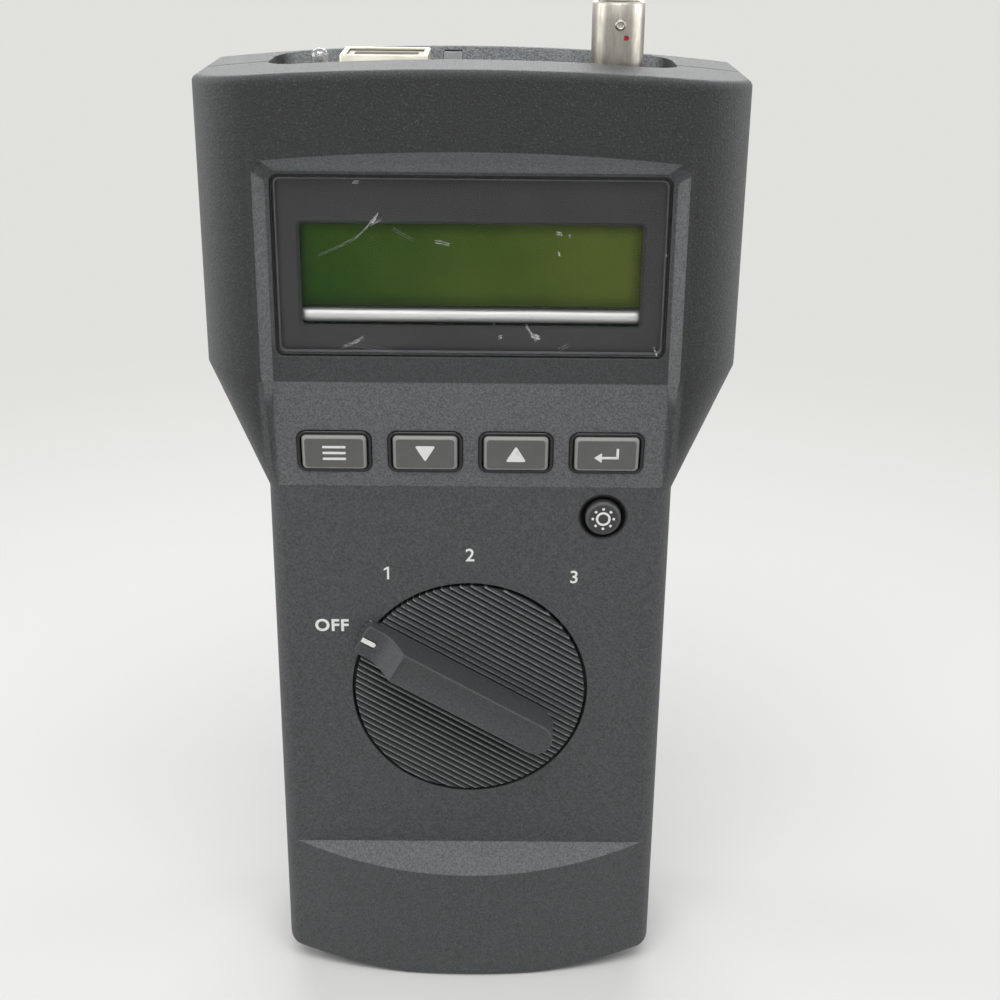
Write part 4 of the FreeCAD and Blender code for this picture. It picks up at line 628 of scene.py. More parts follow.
# %% Metals
def streaked_metal(name, colour, roughness, stretch=(1, 1, 1), grain=0.0006, depth=0.000006, tarnish=0.3):
    """Metal with streaks along the axis whose stretch is smallest, and soft tarnish."""
    finish = Finish(name, colour, roughness, 1.0)
    soft, near_edge = finish.edge(0.00012)
    streaks = finish.noise(grain, 4.0, 0.65, finish.stretched(*stretch))
    clouds = finish.noise(0.004, 3.0, 0.6).between(0.35, 0.75)
    dull = toned(colour, 1 - 0.55 * tarnish)
    shade = streaks.between(0.3, 0.7) * 0.6 + clouds * 0.4
    finish.set(Base_Color=finish.mix((shade * (1 - near_edge * 0.5)).clamp(), colour, dull))
    finish.set(Roughness=(roughness - 0.06 + 0.18 * streaks + 0.12 * clouds).clamp())
    return finish.bump(streaks, depth, soft).material


coax_nickel = streaked_metal("coax_nickel", (0.54, 0.51, 0.45), 0.26, (1, 1, 0.15), tarnish=0.7)
jack_metal = streaked_metal("jack_metal", (0.66, 0.64, 0.54), 0.34, (0.3, 1, 1), 0.0009, 0.00002)
display_metal = streaked_metal("display_metal", (0.55, 0.55, 0.56), 0.42, (0.1, 1, 1))
steel_screw = streaked_metal("steel_screw", (0.52, 0.52, 0.53), 0.36, (1, 1, 1), 0.0004)
black_screw = streaked_metal("black_screw", (0.09, 0.09, 0.095), 0.4, (1, 1, 1), 0.0004)
contact_metal = streaked_metal("contact_metal", (0.83, 0.62, 0.27), 0.25, (1, 1, 0.1))
spring_steel = streaked_metal("spring_steel", (0.60, 0.60, 0.60), 0.3, (1, 0.2, 1))
crystal_metal = streaked_metal("crystal_metal", (0.68, 0.68, 0.68), 0.28, (0.2, 1, 1))

# %% [markdown]
# ## Electronics and cells
#
# The cells show when the door is off, and the boards only when the case is open, but each part gets its
# own finish: green solder mask with copper tracks under it, black epoxy chips, moulded insulators and
# foil-wrapped cells.

# %% Boards, chips, insulators and cells
def solder_mask(name):
    """Green lacquer over copper: tracks are thin level lines of a noise."""
    finish = Finish(name, (0.02, 0.12, 0.045), 0.3)
    lanes = finish.noise(0.006, 1.0, 0.4, finish.stretched(1, 1, 0.35)) * 14.0
    tracks = abs(lanes.fraction() - 0.5).fades(0.0, 0.16)
    pads = finish.cells(0.0035).fades(0.10, 0.16)
    base = finish.mix(tracks * 0.8, (0.018, 0.10, 0.04), (0.035, 0.20, 0.07))
    finish.set(Base_Color=finish.mix(pads, base, (0.62, 0.62, 0.60)))
    finish.set(Metallic=pads * 0.9)
    return finish.bump(tracks * 0.5 + pads * 0.5, 0.00004).material


def epoxy(name, colour, roughness):
    """Fine matt moulding with slight clouds, and a painted highlight that makes its edges paler."""
    finish = Finish(name, colour, roughness)
    soft, near_edge = finish.edge(0.0002)
    fine, cloud = finish.noise(0.0003, 2.0), finish.noise(0.005)
    paler = tuple(min(1.0, c * 1.35 + 0.01) for c in colour)
    # clouds and grain, with edges painted paler as a highlight
    finish.set(Base_Color=finish.mix((fine * 0.4 + cloud * 0.4 + near_edge * 0.3).clamp(), colour, paler))
    finish.set(Roughness=(roughness - 0.05 + 0.1 * cloud).clamp())
    return finish.bump(fine, 0.00002, soft).material


def foil_wrap(name, low_z, high_z):
    """Printed foil round a cell: a pale sleeve, a dark band near each end, bare steel at the ends."""
    finish = Finish(name, (0.55, 0.57, 0.60), 0.28)
    up = finish.axis("Z")
    from_end = (up - low_z).least(high_z - up)
    band = from_end.within(0.0068, 0.0070, 0.0098, 0.0100)
    steel = from_end.fades(0.0006, 0.0008)
    scuffs = finish.noise(0.0008, 4.0, 0.7, finish.stretched(1, 1, 0.2)).between(0.66, 0.8)
    sleeve = finish.mix(band, (0.50, 0.53, 0.56), (0.03, 0.06, 0.12))
    finish.set(Base_Color=finish.mix((steel + scuffs * 0.4).clamp(), sleeve, (0.7, 0.7, 0.7)))
    finish.set(Metallic=(0.35 + steel * 0.65).clamp(), Roughness=0.24 + 0.2 * scuffs)
    return finish.bump(finish.noise(0.002), 0.00002).material


board_green = solder_mask("board_green")
chip_black = epoxy("chip_black", (0.012, 0.012, 0.013), 0.55)
rotor_plastic = epoxy("rotor_plastic", (0.55, 0.54, 0.50), 0.45)
jack_plastic = epoxy("jack_plastic", (0.34, 0.33, 0.29), 0.42)
insulator_white = epoxy("insulator_white", (0.78, 0.77, 0.73), 0.4)
light_panel = epoxy("light_panel", (0.72, 0.74, 0.66), 0.5)
capacitor_sleeve = epoxy("capacitor_sleeve", (0.02, 0.03, 0.07), 0.32)
cell_low, cell_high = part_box("cell_1")[0].z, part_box("cell_1")[1].z
cell_wrap = foil_wrap("cell_wrap", cell_low, cell_high)

# %% [markdown]
# ## Clear plastic
#
# A clear window is mostly not there: light goes through, a few percent is mirrored, and more of it at a
# grazing angle. One shader mixes a transparent surface with a mirror by that share, which Blender's
# Fresnel node works out. Scratches are places where the surface turns white and rough.

# %% Clear plastic
def clear_plastic(name, index, roughness):
    """Finish whose shader is mixed over a transparent surface; returns it with its Fresnel share."""
    finish = Finish(name, (0.92, 0.92, 0.93), roughness, 1.0)
    share = Field(finish, finish.node("ShaderNodeFresnel", None, {"IOR": index}).outputs[0])
    return finish, share


def finish_clear(finish, cover):
    """Joins the shader and a transparent one by the field `cover`, where 1 is opaque."""
    return finish.over(finish.node("ShaderNodeBsdfTransparent").outputs[0], cover)


lamp_finish, lamp_share = clear_plastic("lamp_clear", 1.49, 0.08)
lamp_streaks = lamp_finish.noise(0.0006, 4.0, 0.7, lamp_finish.stretched(1, 1, 0.15)).between(0.42, 0.75)
lamp_finish.set(Metallic=(1 - lamp_streaks * 0.9).clamp(), Roughness=0.08 + lamp_streaks * 0.3)
lamp_clear = finish_clear(lamp_finish, lamp_share + lamp_streaks * 0.55 + 0.08)

# %% [markdown]
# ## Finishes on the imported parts
#
# Parts whose shape is already right keep their own mesh and only get a finish. The table below names
# each of them once, so that none is forgotten.

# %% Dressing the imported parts
dressed = {
    case_plastic: ("front_case", "rear_case"),
    door_plastic: ("battery_door",),
    panel_plastic: ("connector_panel",),
    mask_black: ("lens_mask",),
    display_metal: ("display_frame",),
    light_panel: ("backlight_panel",),
    board_green: ("main_board", "key_board", "display_board"),
    chip_black: ("processor_chip", "memory_chip", "pulse_chip", "light_switch"),
    capacitor_sleeve: ("storage_capacitor",),
    crystal_metal: ("crystal_can",),
    steel_screw: ("board_screws", "display_screws", "rotor_screw"),
    black_screw: ("case_screws", "door_screw"),
    rotor_plastic: ("switch_rotor",),
    key_rubber: ("key_pad",),
    contact_metal: ("wiper_contacts", "jack_contacts", "coax_contact"),
    spring_steel: ("detent_spring", "battery_springs", "battery_plates"),
    jack_plastic: ("jack_insert",),
    coax_nickel: ("coax_washer", "coax_nut"),
    insulator_white: ("coax_insulator",),
    lamp_clear: ("indicator_lamp",),
    cell_wrap: ("cell_1", "cell_2", "cell_3", "cell_4"),
}
for finish, nodes in dressed.items():
    for node in nodes:
        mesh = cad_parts[node].data
        mesh.materials.clear()
        mesh.materials.append(finish)
print("packed parts with a finish:", sum(len(nodes) for nodes in dressed.values()))

# %% [markdown]
# ## Display
#
# Behind the window sit a dark printed border, a bevelled frame, the liquid crystal glass and a bright
# strip that spreads the lamp's light. The glass is off, so it shows no characters, only a green that
# turns olive to the right and goes dark towards its edges as painted shade.

# %% Window plate with scratches
def segment_mask(finish, x0, z0, x1, z1, width, jitter):
    """1 within half a width of the segment (x0, z0)-(x1, z1), millimetres, broken up by noise."""
    x = finish.axis("X") / MM + (finish.noise(0.0008) - 0.5) * jitter
    z = finish.axis("Z") / MM + (finish.noise(0.0007) - 0.5) * jitter
    length = math.hypot(x1 - x0, z1 - z0)
    ux, uz = (x1 - x0) / length, (z1 - z0) / length
    along = ((x - x0) * ux + (z - z0) * uz).most(0.0).least(length)
    off = (((x - x0) - along * ux) ** 2.0 + ((z - z0) - along * uz) ** 2.0).root()
    return off.fades(width * 0.2, width * 0.5)


def front_seat(node):
    """Frame on the front of a node's box, at its middle."""
    centre = middle(node)
    return Seat((centre[0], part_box(node)[0].y, centre[2]), (0, -1, 0))


lens_middle, lens_seat = middle("display_lens"), front_seat("display_lens")
lens_wide, lens_deep, lens_tall = span("display_lens")

lens_finish, lens_share = clear_plastic("lens_clear", 1.18, 0.05)
# both ends as x and z, the width, and how uneven the line is, all in millimetres
scratch_lines = [
    (-18.4, 161.9, -16.6, 163.9, 0.16, 0.3), (-17.9, 162.0, -16.1, 162.9, 0.13, 0.3),
    (-17.6, 162.4, -16.9, 163.2, 0.3, 0.5), (-18.3, 161.8, -20.5, 159.7, 0.10, 0.15),
    (-20.5, 159.7, -23.5, 158.1, 0.07, 0.15), (-23.5, 158.1, -27.2, 156.5, 0.05, 0.15),
    (-14.1, 161.4, -10.3, 159.2, 0.05, 0.2), (-6.4, 159.1, -3.9, 158.6, 0.22, 0.6),
    (10.0, 143.8, 11.2, 142.0, 0.18, 0.3), (11.2, 142.0, 12.5, 141.5, 0.5, 0.9),
    (11.6, 141.4, 12.0, 140.7, 0.12, 0.2), (-23.5, 139.4, -21.6, 140.1, 0.14, 0.5),
    (-21.7, 140.1, -19.7, 141.2, 0.28, 0.9), (-23.0, 140.1, -14.5, 138.7, 0.05, 0.2),
    (34.1, 138.4, 33.6, 139.6, 0.28, 0.7), (16.1, 139.2, 18.1, 140.2, 0.08, 0.4),
    (5.1, 141.5, 5.6, 141.7, 0.3, 0.6), (15.3, 160.8, 16.1, 160.6, 0.34, 0.4),
    (15.7, 157.1, 15.9, 156.9, 0.34, 0.2), (17.5, 160.3, 17.7, 160.3, 0.22, 0.1),
    (-20.8, 169.5, -19.9, 169.6, 0.22, 0.4), (34.9, 157.4, 35.0, 156.8, 0.2, 0.1),
]
scratches = segment_mask(lens_finish, *scratch_lines[0])
for line in scratch_lines[1:]:
    scratches = scratches.most(segment_mask(lens_finish, *line))
fibres = lens_finish.noise(0.0022, 5.0, 0.75, lens_finish.stretched(1, 1, 2.2)).between(0.60, 0.80)
specks = lens_finish.noise(0.00055, 2.0, 0.6).between(0.74, 0.82)
whiteness = 0.18 + 0.45 * lens_finish.noise(0.0004, 3.0).between(0.35, 0.6)
scratches = (scratches * whiteness + fibres * 0.02 + specks * 0.15).clamp()
lens_finish.set(Metallic=1 - scratches, Roughness=0.05 + scratches * 0.45)
lens_finish.bump(scratches, 0.000004)
lens_clear = finish_clear(lens_finish, lens_share + scratches)

print_depth, window_corner = 0.1 * MM, 1.25 * MM
plate_profile = [(0.02 * MM, print_depth - lens_deep), (0.0, print_depth + 0.05 * MM - lens_deep),
                 (0.0, -0.45 * MM), (0.12 * MM, -0.16 * MM), (0.42 * MM, 0.0), (0.55 * MM, 0.0)]
plate = rounded_stack(lens_seat, lens_wide, lens_tall, window_corner, plate_profile, ease=0.5)
lens = new_piece("display_window", *skin(plate), lens_clear, "case", "lens_clear", 20)
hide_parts("display_lens")
print("window plate, millimetres:", np.round(span("display_lens") / MM, 2))

# %% Black ring that paints the shade in the gap round the window, and a grey band that paints the highlight of the window's polished edge
# painted shade: a black ring fills the gap round the window and runs a little under its rim, so the gap shows
# as a wide dark line
gap_outside, gap_inside = 0.33 * MM, 0.34 * MM
gap_shade_profile = [(-gap_outside, -0.75 * MM), (gap_inside, -0.75 * MM),
                  (gap_inside, print_depth + 0.06 * MM - lens_deep),
                  (gap_inside + 0.02 * MM, 0.01 * MM - lens_deep), (-gap_outside, 0.01 * MM - lens_deep)]
gap_shade = rounded_stack(lens_seat, lens_wide, lens_tall, window_corner, gap_shade_profile, ease=0.5)
new_piece("window_gap_shade", *skin(gap_shade[::-1], ring=True), surround_black, "case", "surround_black", 20)
# painted highlight: a matt grey band behind the window's rim stands in for the light caught by its polished
# edge
edge_highlight_finish = back_print("window_edge_highlight", (0.20, 0.20, 0.21))
edge_profile = np.array([(0.36, -1.55), (0.36, -0.60), (0.52, -0.50), (0.56, -1.55)]) * MM
edge = rounded_stack(lens_seat, lens_wide, lens_tall, 1.1 * MM, edge_profile)
new_piece("window_edge_highlight", *skin(edge, ring=True), edge_highlight_finish, "case", "lens_clear", 20)

# %% Printed border and bevelled frame
opening_wide, opening_tall, opening_z = 62.8 * MM, 19.4 * MM, 152.8 * MM
opening_shift = np.array([0.0, opening_z - lens_middle[2]])
border_wide, border_tall = lens_wide - 0.74 * MM, lens_tall - 0.74 * MM
border_front, border_back = lens_deep - print_depth + 0.02 * MM, lens_deep - 0.002 * MM
hole = rounded_rectangle(opening_wide, opening_tall, 1.0 * MM) + opening_shift
border = rounded_rectangle(border_wide, border_tall, 1.1 * MM)
border_loops = [lens_seat.place(loop, -depth) for loop, depth in (
    (hole, border_front), (border, border_front), (border, border_back), (hole, border_back))]
new_piece("window_print", *skin(border_loops, ring=True), mask_black, "case", "mask_black")

bevel_wide, foot_gap, bevel_deep, bevel_rise = 0.55 * MM, 0.1 * MM, 0.9 * MM, 0.35 * MM
inner = rounded_rectangle(opening_wide - 2 * bevel_wide, opening_tall - bevel_wide - foot_gap, 0.8 * MM)
inner = inner + opening_shift + np.array([0.0, -(bevel_wide - foot_gap) / 2])
outer = rounded_rectangle(opening_wide - 0.02 * MM, opening_tall - 0.02 * MM, 1.0 * MM) + opening_shift
bevel_loops = [lens_seat.place(loop, -lens_deep - depth) for loop, depth in (
    (outer, 0.0), (outer, bevel_deep), (inner, bevel_deep), (inner, bevel_deep - bevel_rise))]
frame_grey = back_print("frame_grey", (0.085, 0.085, 0.09))
new_piece("window_bevel", *skin(bevel_loops, ring=True), frame_grey, "case", "mask_black", 20)

# %% Liquid crystal glass
green_finish = Finish("display_green", (0.02, 0.07, 0.01), 0.35, Specular_IOR_Level=0.06)
x, z = green_finish.axis("X") / MM, green_finish.axis("Z") / MM
cloud = green_finish.noise(0.014, 3.0, 0.55)
blur = cloud - 0.5
to_olive = ((x + 38.0) / 70.0 + blur * 0.5).clamp()
side_gap, low_gap, top_gap = 31.2 - abs(x) + blur * 1.6, z - 146.2 + blur * 1.5, 161.8 - z + blur * 1.5
# painted shade: the glass darkens towards the edges of the window, most at the sides and the bottom
lit = side_gap.between(-0.6, 3.2) * low_gap.between(-0.5, 3.4) * (0.35 + 0.65 * top_gap.between(-0.4, 3.0))
glow = green_finish.mix(to_olive, (0.012, 0.076, 0.002), (0.124, 0.172, 0.024))
dark = green_finish.mix(to_olive, (0.006, 0.030, 0.003), (0.055, 0.075, 0.014))
green_finish.set(Base_Color=green_finish.mix(lit, dark, glow), Roughness=0.3 + 0.15 * cloud)
display_green = green_finish.bump(green_finish.noise(0.0003, 2.0), 0.000004).material

glass_wide, glass_deep, glass_tall = span("display_glass")
glass_profile = [(0.0, -glass_deep), (0.0, -1.1 * MM), (0.0, -1.0 * MM), (0.5 * MM, -1.0 * MM),
                 (0.5 * MM, -0.15 * MM), (0.65 * MM, 0.0)]
glass = rounded_stack(front_seat("display_glass"), glass_wide, glass_tall, 0.3 * MM, glass_profile)
glass_piece = new_piece("liquid_crystal_glass", *skin(glass), display_green, "case", "display_green", 20)
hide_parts("display_glass")

# %% Bright strip under the glass
bar_finish = Finish("strip_silver", (0.5, 0.5, 0.5), 0.34, 0.5)
bar_streaks = bar_finish.noise(0.0012, 5.0, 0.7, bar_finish.stretched(0.05, 1, 1)).between(0.3, 0.7)
bar_clouds = bar_finish.noise(0.006, 2.0, 0.5, bar_finish.stretched(0.5, 1, 1)).between(0.3, 0.7)
bar_up = (bar_finish.axis("Z") / MM - 143.2) / 2.6
bar_shade = (0.6 + 0.4 * bar_up.between(0.0, 0.6)) * (1 - 0.3 * bar_up.between(0.9, 1.0))
bar_tone = (bar_shade * (0.85 + 0.15 * bar_streaks) * (0.92 + 0.08 * bar_clouds)).clamp()
bar_colour = bar_finish.mix(bar_tone, (0.34, 0.34, 0.34), (0.98, 0.98, 0.96))
bar_finish.set(Base_Color=bar_colour, Roughness=0.3 + 0.25 * bar_streaks)
bar_finish.bump(bar_streaks, 0.00003)
bar_radius, bar_half, bar_steps = span("light_bar")[2] / 2, 31.2 * MM, 48
bar_x = bar_half - np.array([0.0, 0.12, 0.4, 0.8]) * MM
bar_x = np.concatenate([-bar_x, bar_x[::-1]])
bar_size = np.array([0.62, 0.80, 0.95, 1.0])
bar_size = np.concatenate([bar_size, bar_size[::-1]]) * bar_radius
bar_round = circle(1.0, bar_steps)
bar_round = np.sign(bar_round) * np.abs(bar_round) ** 0.75  # between a circle and a square
bar_loops = np.empty((len(bar_x), bar_steps, 3))
bar_loops[..., 0] = bar_x[:, None]
bar_loops[..., 1:] = middle("light_bar")[1:] + bar_size[:, None, None] * bar_round
bar = new_piece("light_strip", *skin(bar_loops), bar_finish.material, "case", "display_metal", 40)
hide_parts("light_bar")

# %% [markdown]
# ## Keys
#
# Four keys lie in a row on a face whose upper end stands a little further forward. Each is a rubber cap
# with a bevelled rim, in a polished black ring. Both are the same idea: one rounded rectangle, drawn
# again and again at other sizes and levels.

# %% Key caps and their rings
ramp_foot, ramp_head = np.array([0, face_y, 111.2 * MM]), np.array([0, sill_y, 132.9 * MM])
ramp_up = (ramp_head - ramp_foot) / np.linalg.norm(ramp_head - ramp_foot)
ramp_out = np.cross((1, 0, 0), ramp_up)
print("the key row leans by degrees:", round(math.degrees(math.asin(-ramp_up[1])), 2))
key_pitch, key_level = 17.15 * MM, 118.6 * MM
key_wide, key_tall, key_corner, key_proud = 12.2 * MM, 7.2 * MM, 0.9 * MM, 0.9 * MM
wall, flange, flange_thick = 2.05 * MM, 0.7 * MM, 0.9 * MM


def ramp_seat(x):
    """Frame on the leaning face at a key's middle."""
    y = ramp_foot[1] + (key_level - ramp_foot[2]) * ramp_up[1] / ramp_up[2]
    return Seat((x, y, key_level), ramp_out)


def key_loops(seat, outline, flange_outline):
    """Flange, neck, bevel and slightly hollow top; `outline` takes an inset."""
    top = key_proud / MM
    profile = np.array([(0.0, -wall / MM), (0.0, 0.30), (0.05, 0.42), (0.20, 0.60), (0.38, 0.78),
                        (0.52, 0.87), (0.68, top), (1.1, top - 0.04), (1.9, top - 0.08)]) * MM
    loops = [seat.place(flange_outline, -wall - flange_thick), seat.place(flange_outline, -wall)]
    return loops + [seat.place(outline(inset), level) for inset, level in profile]


def key_outline(inset):
    """Rounded rectangle of the cap, drawn in by an inset."""
    corner = max(key_corner - 0.3 * inset, 0.3 * MM)
    return rounded_rectangle(key_wide - 2 * inset, key_tall - 2 * inset, corner, 8)


def ring_skin(seat, wide, tall, corner, band, depth, proud):
    """Closed ring: a small rounded profile carried round a rounded rectangle."""
    edge, soft = 0.2 * MM, 0.06 * MM
    rise = [(0, -depth), (0, proud - edge), (soft, proud - soft), (edge, proud)]
    fall = [(band - inset, level) for inset, level in rise[::-1]]
    return skin(rounded_stack(seat, wide, tall, corner, rise + fall, 1.0, 0.4 * MM, 10), ring=True)


key_names = {"setup": -1.5, "down": -0.5, "up": 0.5, "enter": 1.5}
key_seats = {}
for name, step in key_names.items():
    seat = key_seats[name] = ramp_seat(step * key_pitch)
    around = rounded_rectangle(key_wide + 2 * flange, key_tall + 2 * flange, 0.5 * MM, 8)
    loops = key_loops(seat, key_outline, around)
    cap = new_piece(f"{name}_cap", *skin(loops), key_rubber, name, "key_rubber", 35)
    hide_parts(f"{name}_key")
    ring = ring_skin(seat, 14.0 * MM, 8.6 * MM, 1.8 * MM, 0.62 * MM, 1.2 * MM, 0.35 * MM)
    ring_piece = new_piece(f"{name}_ring", *ring, surround_black, "case", "surround_black", 60)
    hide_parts(f"{name}_surround")
print("key pitch and cap, millimetres:", key_pitch / MM, key_wide / MM, key_tall / MM)

# %% [markdown]
# ## Symbols on the keys
#
# Two keys step down and up and carry triangles. The outer two open the settings and confirm; they carry
# plain signs, three bars and a bent arrow. Each sign is a flat polygon with softened corners, a few
# hundredths of a millimetre thick, so that it catches light like ink.

# %% Signs
ink_thick, ink_rise = 0.03 * MM, 0.012 * MM


def sign(name, seat, polygons, body, level):
    """Thin plates from several closed polygons, in millimetres on the seat's face."""
    parts = []
    for polygon in polygons:
        loop = np.asarray(polygon) * MM
        parts.append(skin([seat.place(loop, level), seat.place(loop, level + ink_thick)]))
    return new_piece(name, *joined(parts), white_mark, body, "white_mark")


def bar_shape(x0, y0, x1, y1, wide):
    """Rounded bar between two points."""
    along = np.array([x1 - x0, y1 - y0], float)
    along /= np.linalg.norm(along)
    side = np.array([-along[1], along[0]]) * wide / 2
    start, end = np.array([x0, y0]), np.array([x1, y1])
    return rounded_polygon([start - side, end - side, end + side, start + side], wide * 0.35)


triangle = np.array([[-1.95, -1.6], [1.95, -1.6], [0.0, 1.75]])
key_top = key_proud - 0.075 * MM
sign("up_sign", key_seats["up"], [rounded_polygon(triangle, 0.3)], "up", key_top)
sign("down_sign", key_seats["down"], [rounded_polygon(-triangle, 0.3)], "down", key_top)
bars = [bar_shape(-2.2, y, 2.2, y, 0.5) for y in (-1.25, 0.0, 1.25)]
sign("setup_sign", key_seats["setup"], bars, "setup", key_top)
arrow_head = rounded_polygon([[-2.4, -0.6], [-0.9, -1.65], [-0.9, 0.45]], 0.12)
arrow = [arrow_head, bar_shape(-1.0, -0.6, 2.3, -0.6, 0.5), bar_shape(2.05, -0.75, 2.05, 1.4, 0.5)]
sign("enter_sign", key_seats["enter"], arrow, "enter", key_top)

# %% Round key with its dish and sun
light_x, light_z = middle("light_key")[[0, 2]]
light_seat = Seat((light_x, face_y, light_z), (0, -1, 0))
cap_radius, cap_steps = 3.45 * MM, 72


def round_outline(inset):
    """Circle of the round cap, drawn in by an inset."""
    return circle(cap_radius - inset, cap_steps)


light_loops = key_loops(light_seat, round_outline, circle(cap_radius + flange, cap_steps))
light_cap = new_piece("light_cap", *skin(light_loops), round_key_rubber, "light", "key_rubber", 35)
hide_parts("light_key")
dish = np.array([(4.5, -0.3), (4.42, -0.22), (4.3, -0.3), (4.0, -0.62), (3.62, -0.86), (3.62, -0.895),
                 (4.5, -0.895)]) * MM
dish_loops = circle_stack(light_seat, dish[::-1], cap_steps)
new_piece("light_dish", *skin(dish_loops, ring=True), surround_black, "case", "surround_black", 25)
ray_from, ray_to = 1.78, 2.66
rays = [bar_shape(*ray_from * ray, *ray_to * ray, 0.5) for ray in circle(1.0, 8)]
sign("sun_rays", light_seat, rays, "light", key_top)
sun_out, sun_in, sun_top = 1.42 * MM, 0.98 * MM, key_top + ink_thick
sun_profile = [(sun_in, key_top), (sun_in, sun_top), (sun_out, sun_top), (sun_out, key_top)]
sun_ring = circle_stack(light_seat, sun_profile, 48)
new_piece("sun_ring", *skin(sun_ring, ring=True), white_mark, "light", "white_mark")

# %% [markdown]
# ## Selector knob
#
# The knob is one moulding: a flat disc with fine ribs, a tall finger bar across it and a low pointer.
# The ribs are a height that depends only on the distance across them, so every rib runs along a chord
# of the disc, and the upper edge of the rim comes out scalloped by itself.

# %% Ribbed disc
knob_seat = Seat(knob_centre, (0, -1, 0), rib_across)
knob_radius, knob_top, knob_back = 23.0 * MM, 0.3 * MM, -2.7 * MM
rib_depth = 0.52 * MM


def rib_height(across):
    """Top of the disc: crests a pitch apart, with rounded tops and narrow valleys."""
    phase = np.abs(((across / rib_pitch + 0.5) % 1.0) - 0.5) * 2
    return knob_top - rib_depth * np.clip((phase - 0.35) / 0.65, 0, 1) ** 1.4


def ribbed_disc():
    """Rows across the ribs by columns along them, each row as long as its chord; then walls and a back."""
    rows, columns = 521, 13
    even = np.linspace(-1, 1, rows)
    across = 0.15 * np.sin(even * math.pi / 2) + 0.85 * even  # a little closer together at the rim
    across *= knob_radius * 0.9995  # the first and last rows keep some width
    half = np.sqrt(knob_radius ** 2 - across ** 2)
    t = np.sin(np.linspace(-1, 1, columns) * math.pi / 2)
    u, s = np.broadcast_to(across[:, None], (rows, columns)), half[:, None] * t
    from_rim = knob_radius - np.sqrt(u ** 2 + s ** 2)
    fall = 0.12 * MM * np.clip(1 - from_rim / (0.25 * MM), 0, 1) ** 2
    top = np.stack([u, s, rib_height(u) - fall], -1).reshape(-1, 3)
    faces = [face[::-1] for face in grid_faces(rows, columns)]
    border = np.concatenate([np.arange(rows) * columns + columns - 1, (np.arange(rows) * columns)[::-1]])
    rim = top[border]
    low = rim * (1, 1, 0) + (0, 0, knob_back)
    shoulder = rim - (0, 0, 0.25 * MM)
    points = np.concatenate([top, shoulder, low])
    shoulder_ring = len(top) + np.arange(len(rim))
    rings = np.stack([border, shoulder_ring, shoulder_ring + len(rim)])[:, ::-1]
    return points, faces + wall_faces(rings) + [rings[2].tolist()]


disc_points, disc_faces = ribbed_disc()
hub_profile = np.array([(1.3, -2.6), (1.3, -5.3), (4.0, -5.3), (4.0, -2.6)]) * MM
hub = skin(circle_stack(knob_seat, hub_profile), ring=True)
knob = joined([(knob_seat.lift(disc_points), disc_faces), hub])
disc = new_piece("knob_disc", *knob, knob_plastic, "knob", "knob_plastic", 25)
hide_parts("selector_knob")

# %% [markdown]
# ## Finger bar and pointer
#
# The bar is drawn from above as half of a long rounded outline, and a grid of points fills it from side
# to side. Each point is lifted to the height of the bar there: full height along the grip, a hollow
# sweep down to the pointer, and a shallow dish across the top. Round it goes a wall: the border of the
# grid, drawn again a little larger and lower each time.

# %% Finger bar
grip_half, grip_tail = 3.35, -18.7
sweep_start, sweep_end = 15.6, 23.4
pointer_rise, pointer_reach, tip_corner = 2.3, 24.9, 0.9
print("ribs on each side of the bar:", int((knob_radius - grip_half * MM) / rib_pitch))


def bar_grid(inset, columns):
    """Rows along the bar by columns across it, (rows, columns, 2) as across and along.

    Half width: a circle at the tail, constant along the sides, quarter circles at the tip's corners.
    """
    half, corner, tip = grip_half - inset, max(tip_corner - inset * 0.6, 0.05), pointer_reach - inset
    tail_middle = grip_tail + grip_half
    turn = np.linspace(0, math.pi / 2, 15)
    tail = np.stack([half * np.sin(turn), tail_middle - half * np.cos(turn)], -1)
    along = np.concatenate([np.linspace(tail_middle, sweep_start, 42)[1:],
                            np.linspace(sweep_start, sweep_end, 34)[1:]])
    side = np.stack([np.full(len(along), half), along], -1)
    turn = np.linspace(0, math.pi / 2, 8)
    end = np.stack([half - corner + corner * np.cos(turn), tip - corner + corner * np.sin(turn)], -1)
    outline = np.concatenate([tail, side, end])
    outline[0, 0] = 1e-4  # a hair of width at the very end
    grid = np.empty((len(outline), columns, 2))
    grid[..., 0] = outline[:, :1] * np.linspace(-1, 1, columns)
    grid[..., 1] = outline[:, 1:]
    return grid


def bar_rise(across, along):
    """Height over the face: the grip, a steep sweep blended into the pointer, and a dished top."""
    sweep_along = [-30, 16.2, 16.5, 16.8, 17.4, 18.2, 19.0, 19.8, 20.5, 21.2, 21.9, 22.6, 40]
    sweep = [6.75, 6.75, 6.68, 6.40, 5.60, 4.50, 3.55, 2.88, 2.52, 2.35, 2.3, 2.3, 2.3]
    height = np.interp(along, sweep_along, sweep)
    grip = np.clip((16.6 - along) / 0.8, 0, 1) * np.clip((along - grip_tail) / 6.0, 0, 1)
    return height - 0.62 * grip * (1 - np.clip(np.abs(across) / (grip_half - 0.3), 0, 1) ** 2)


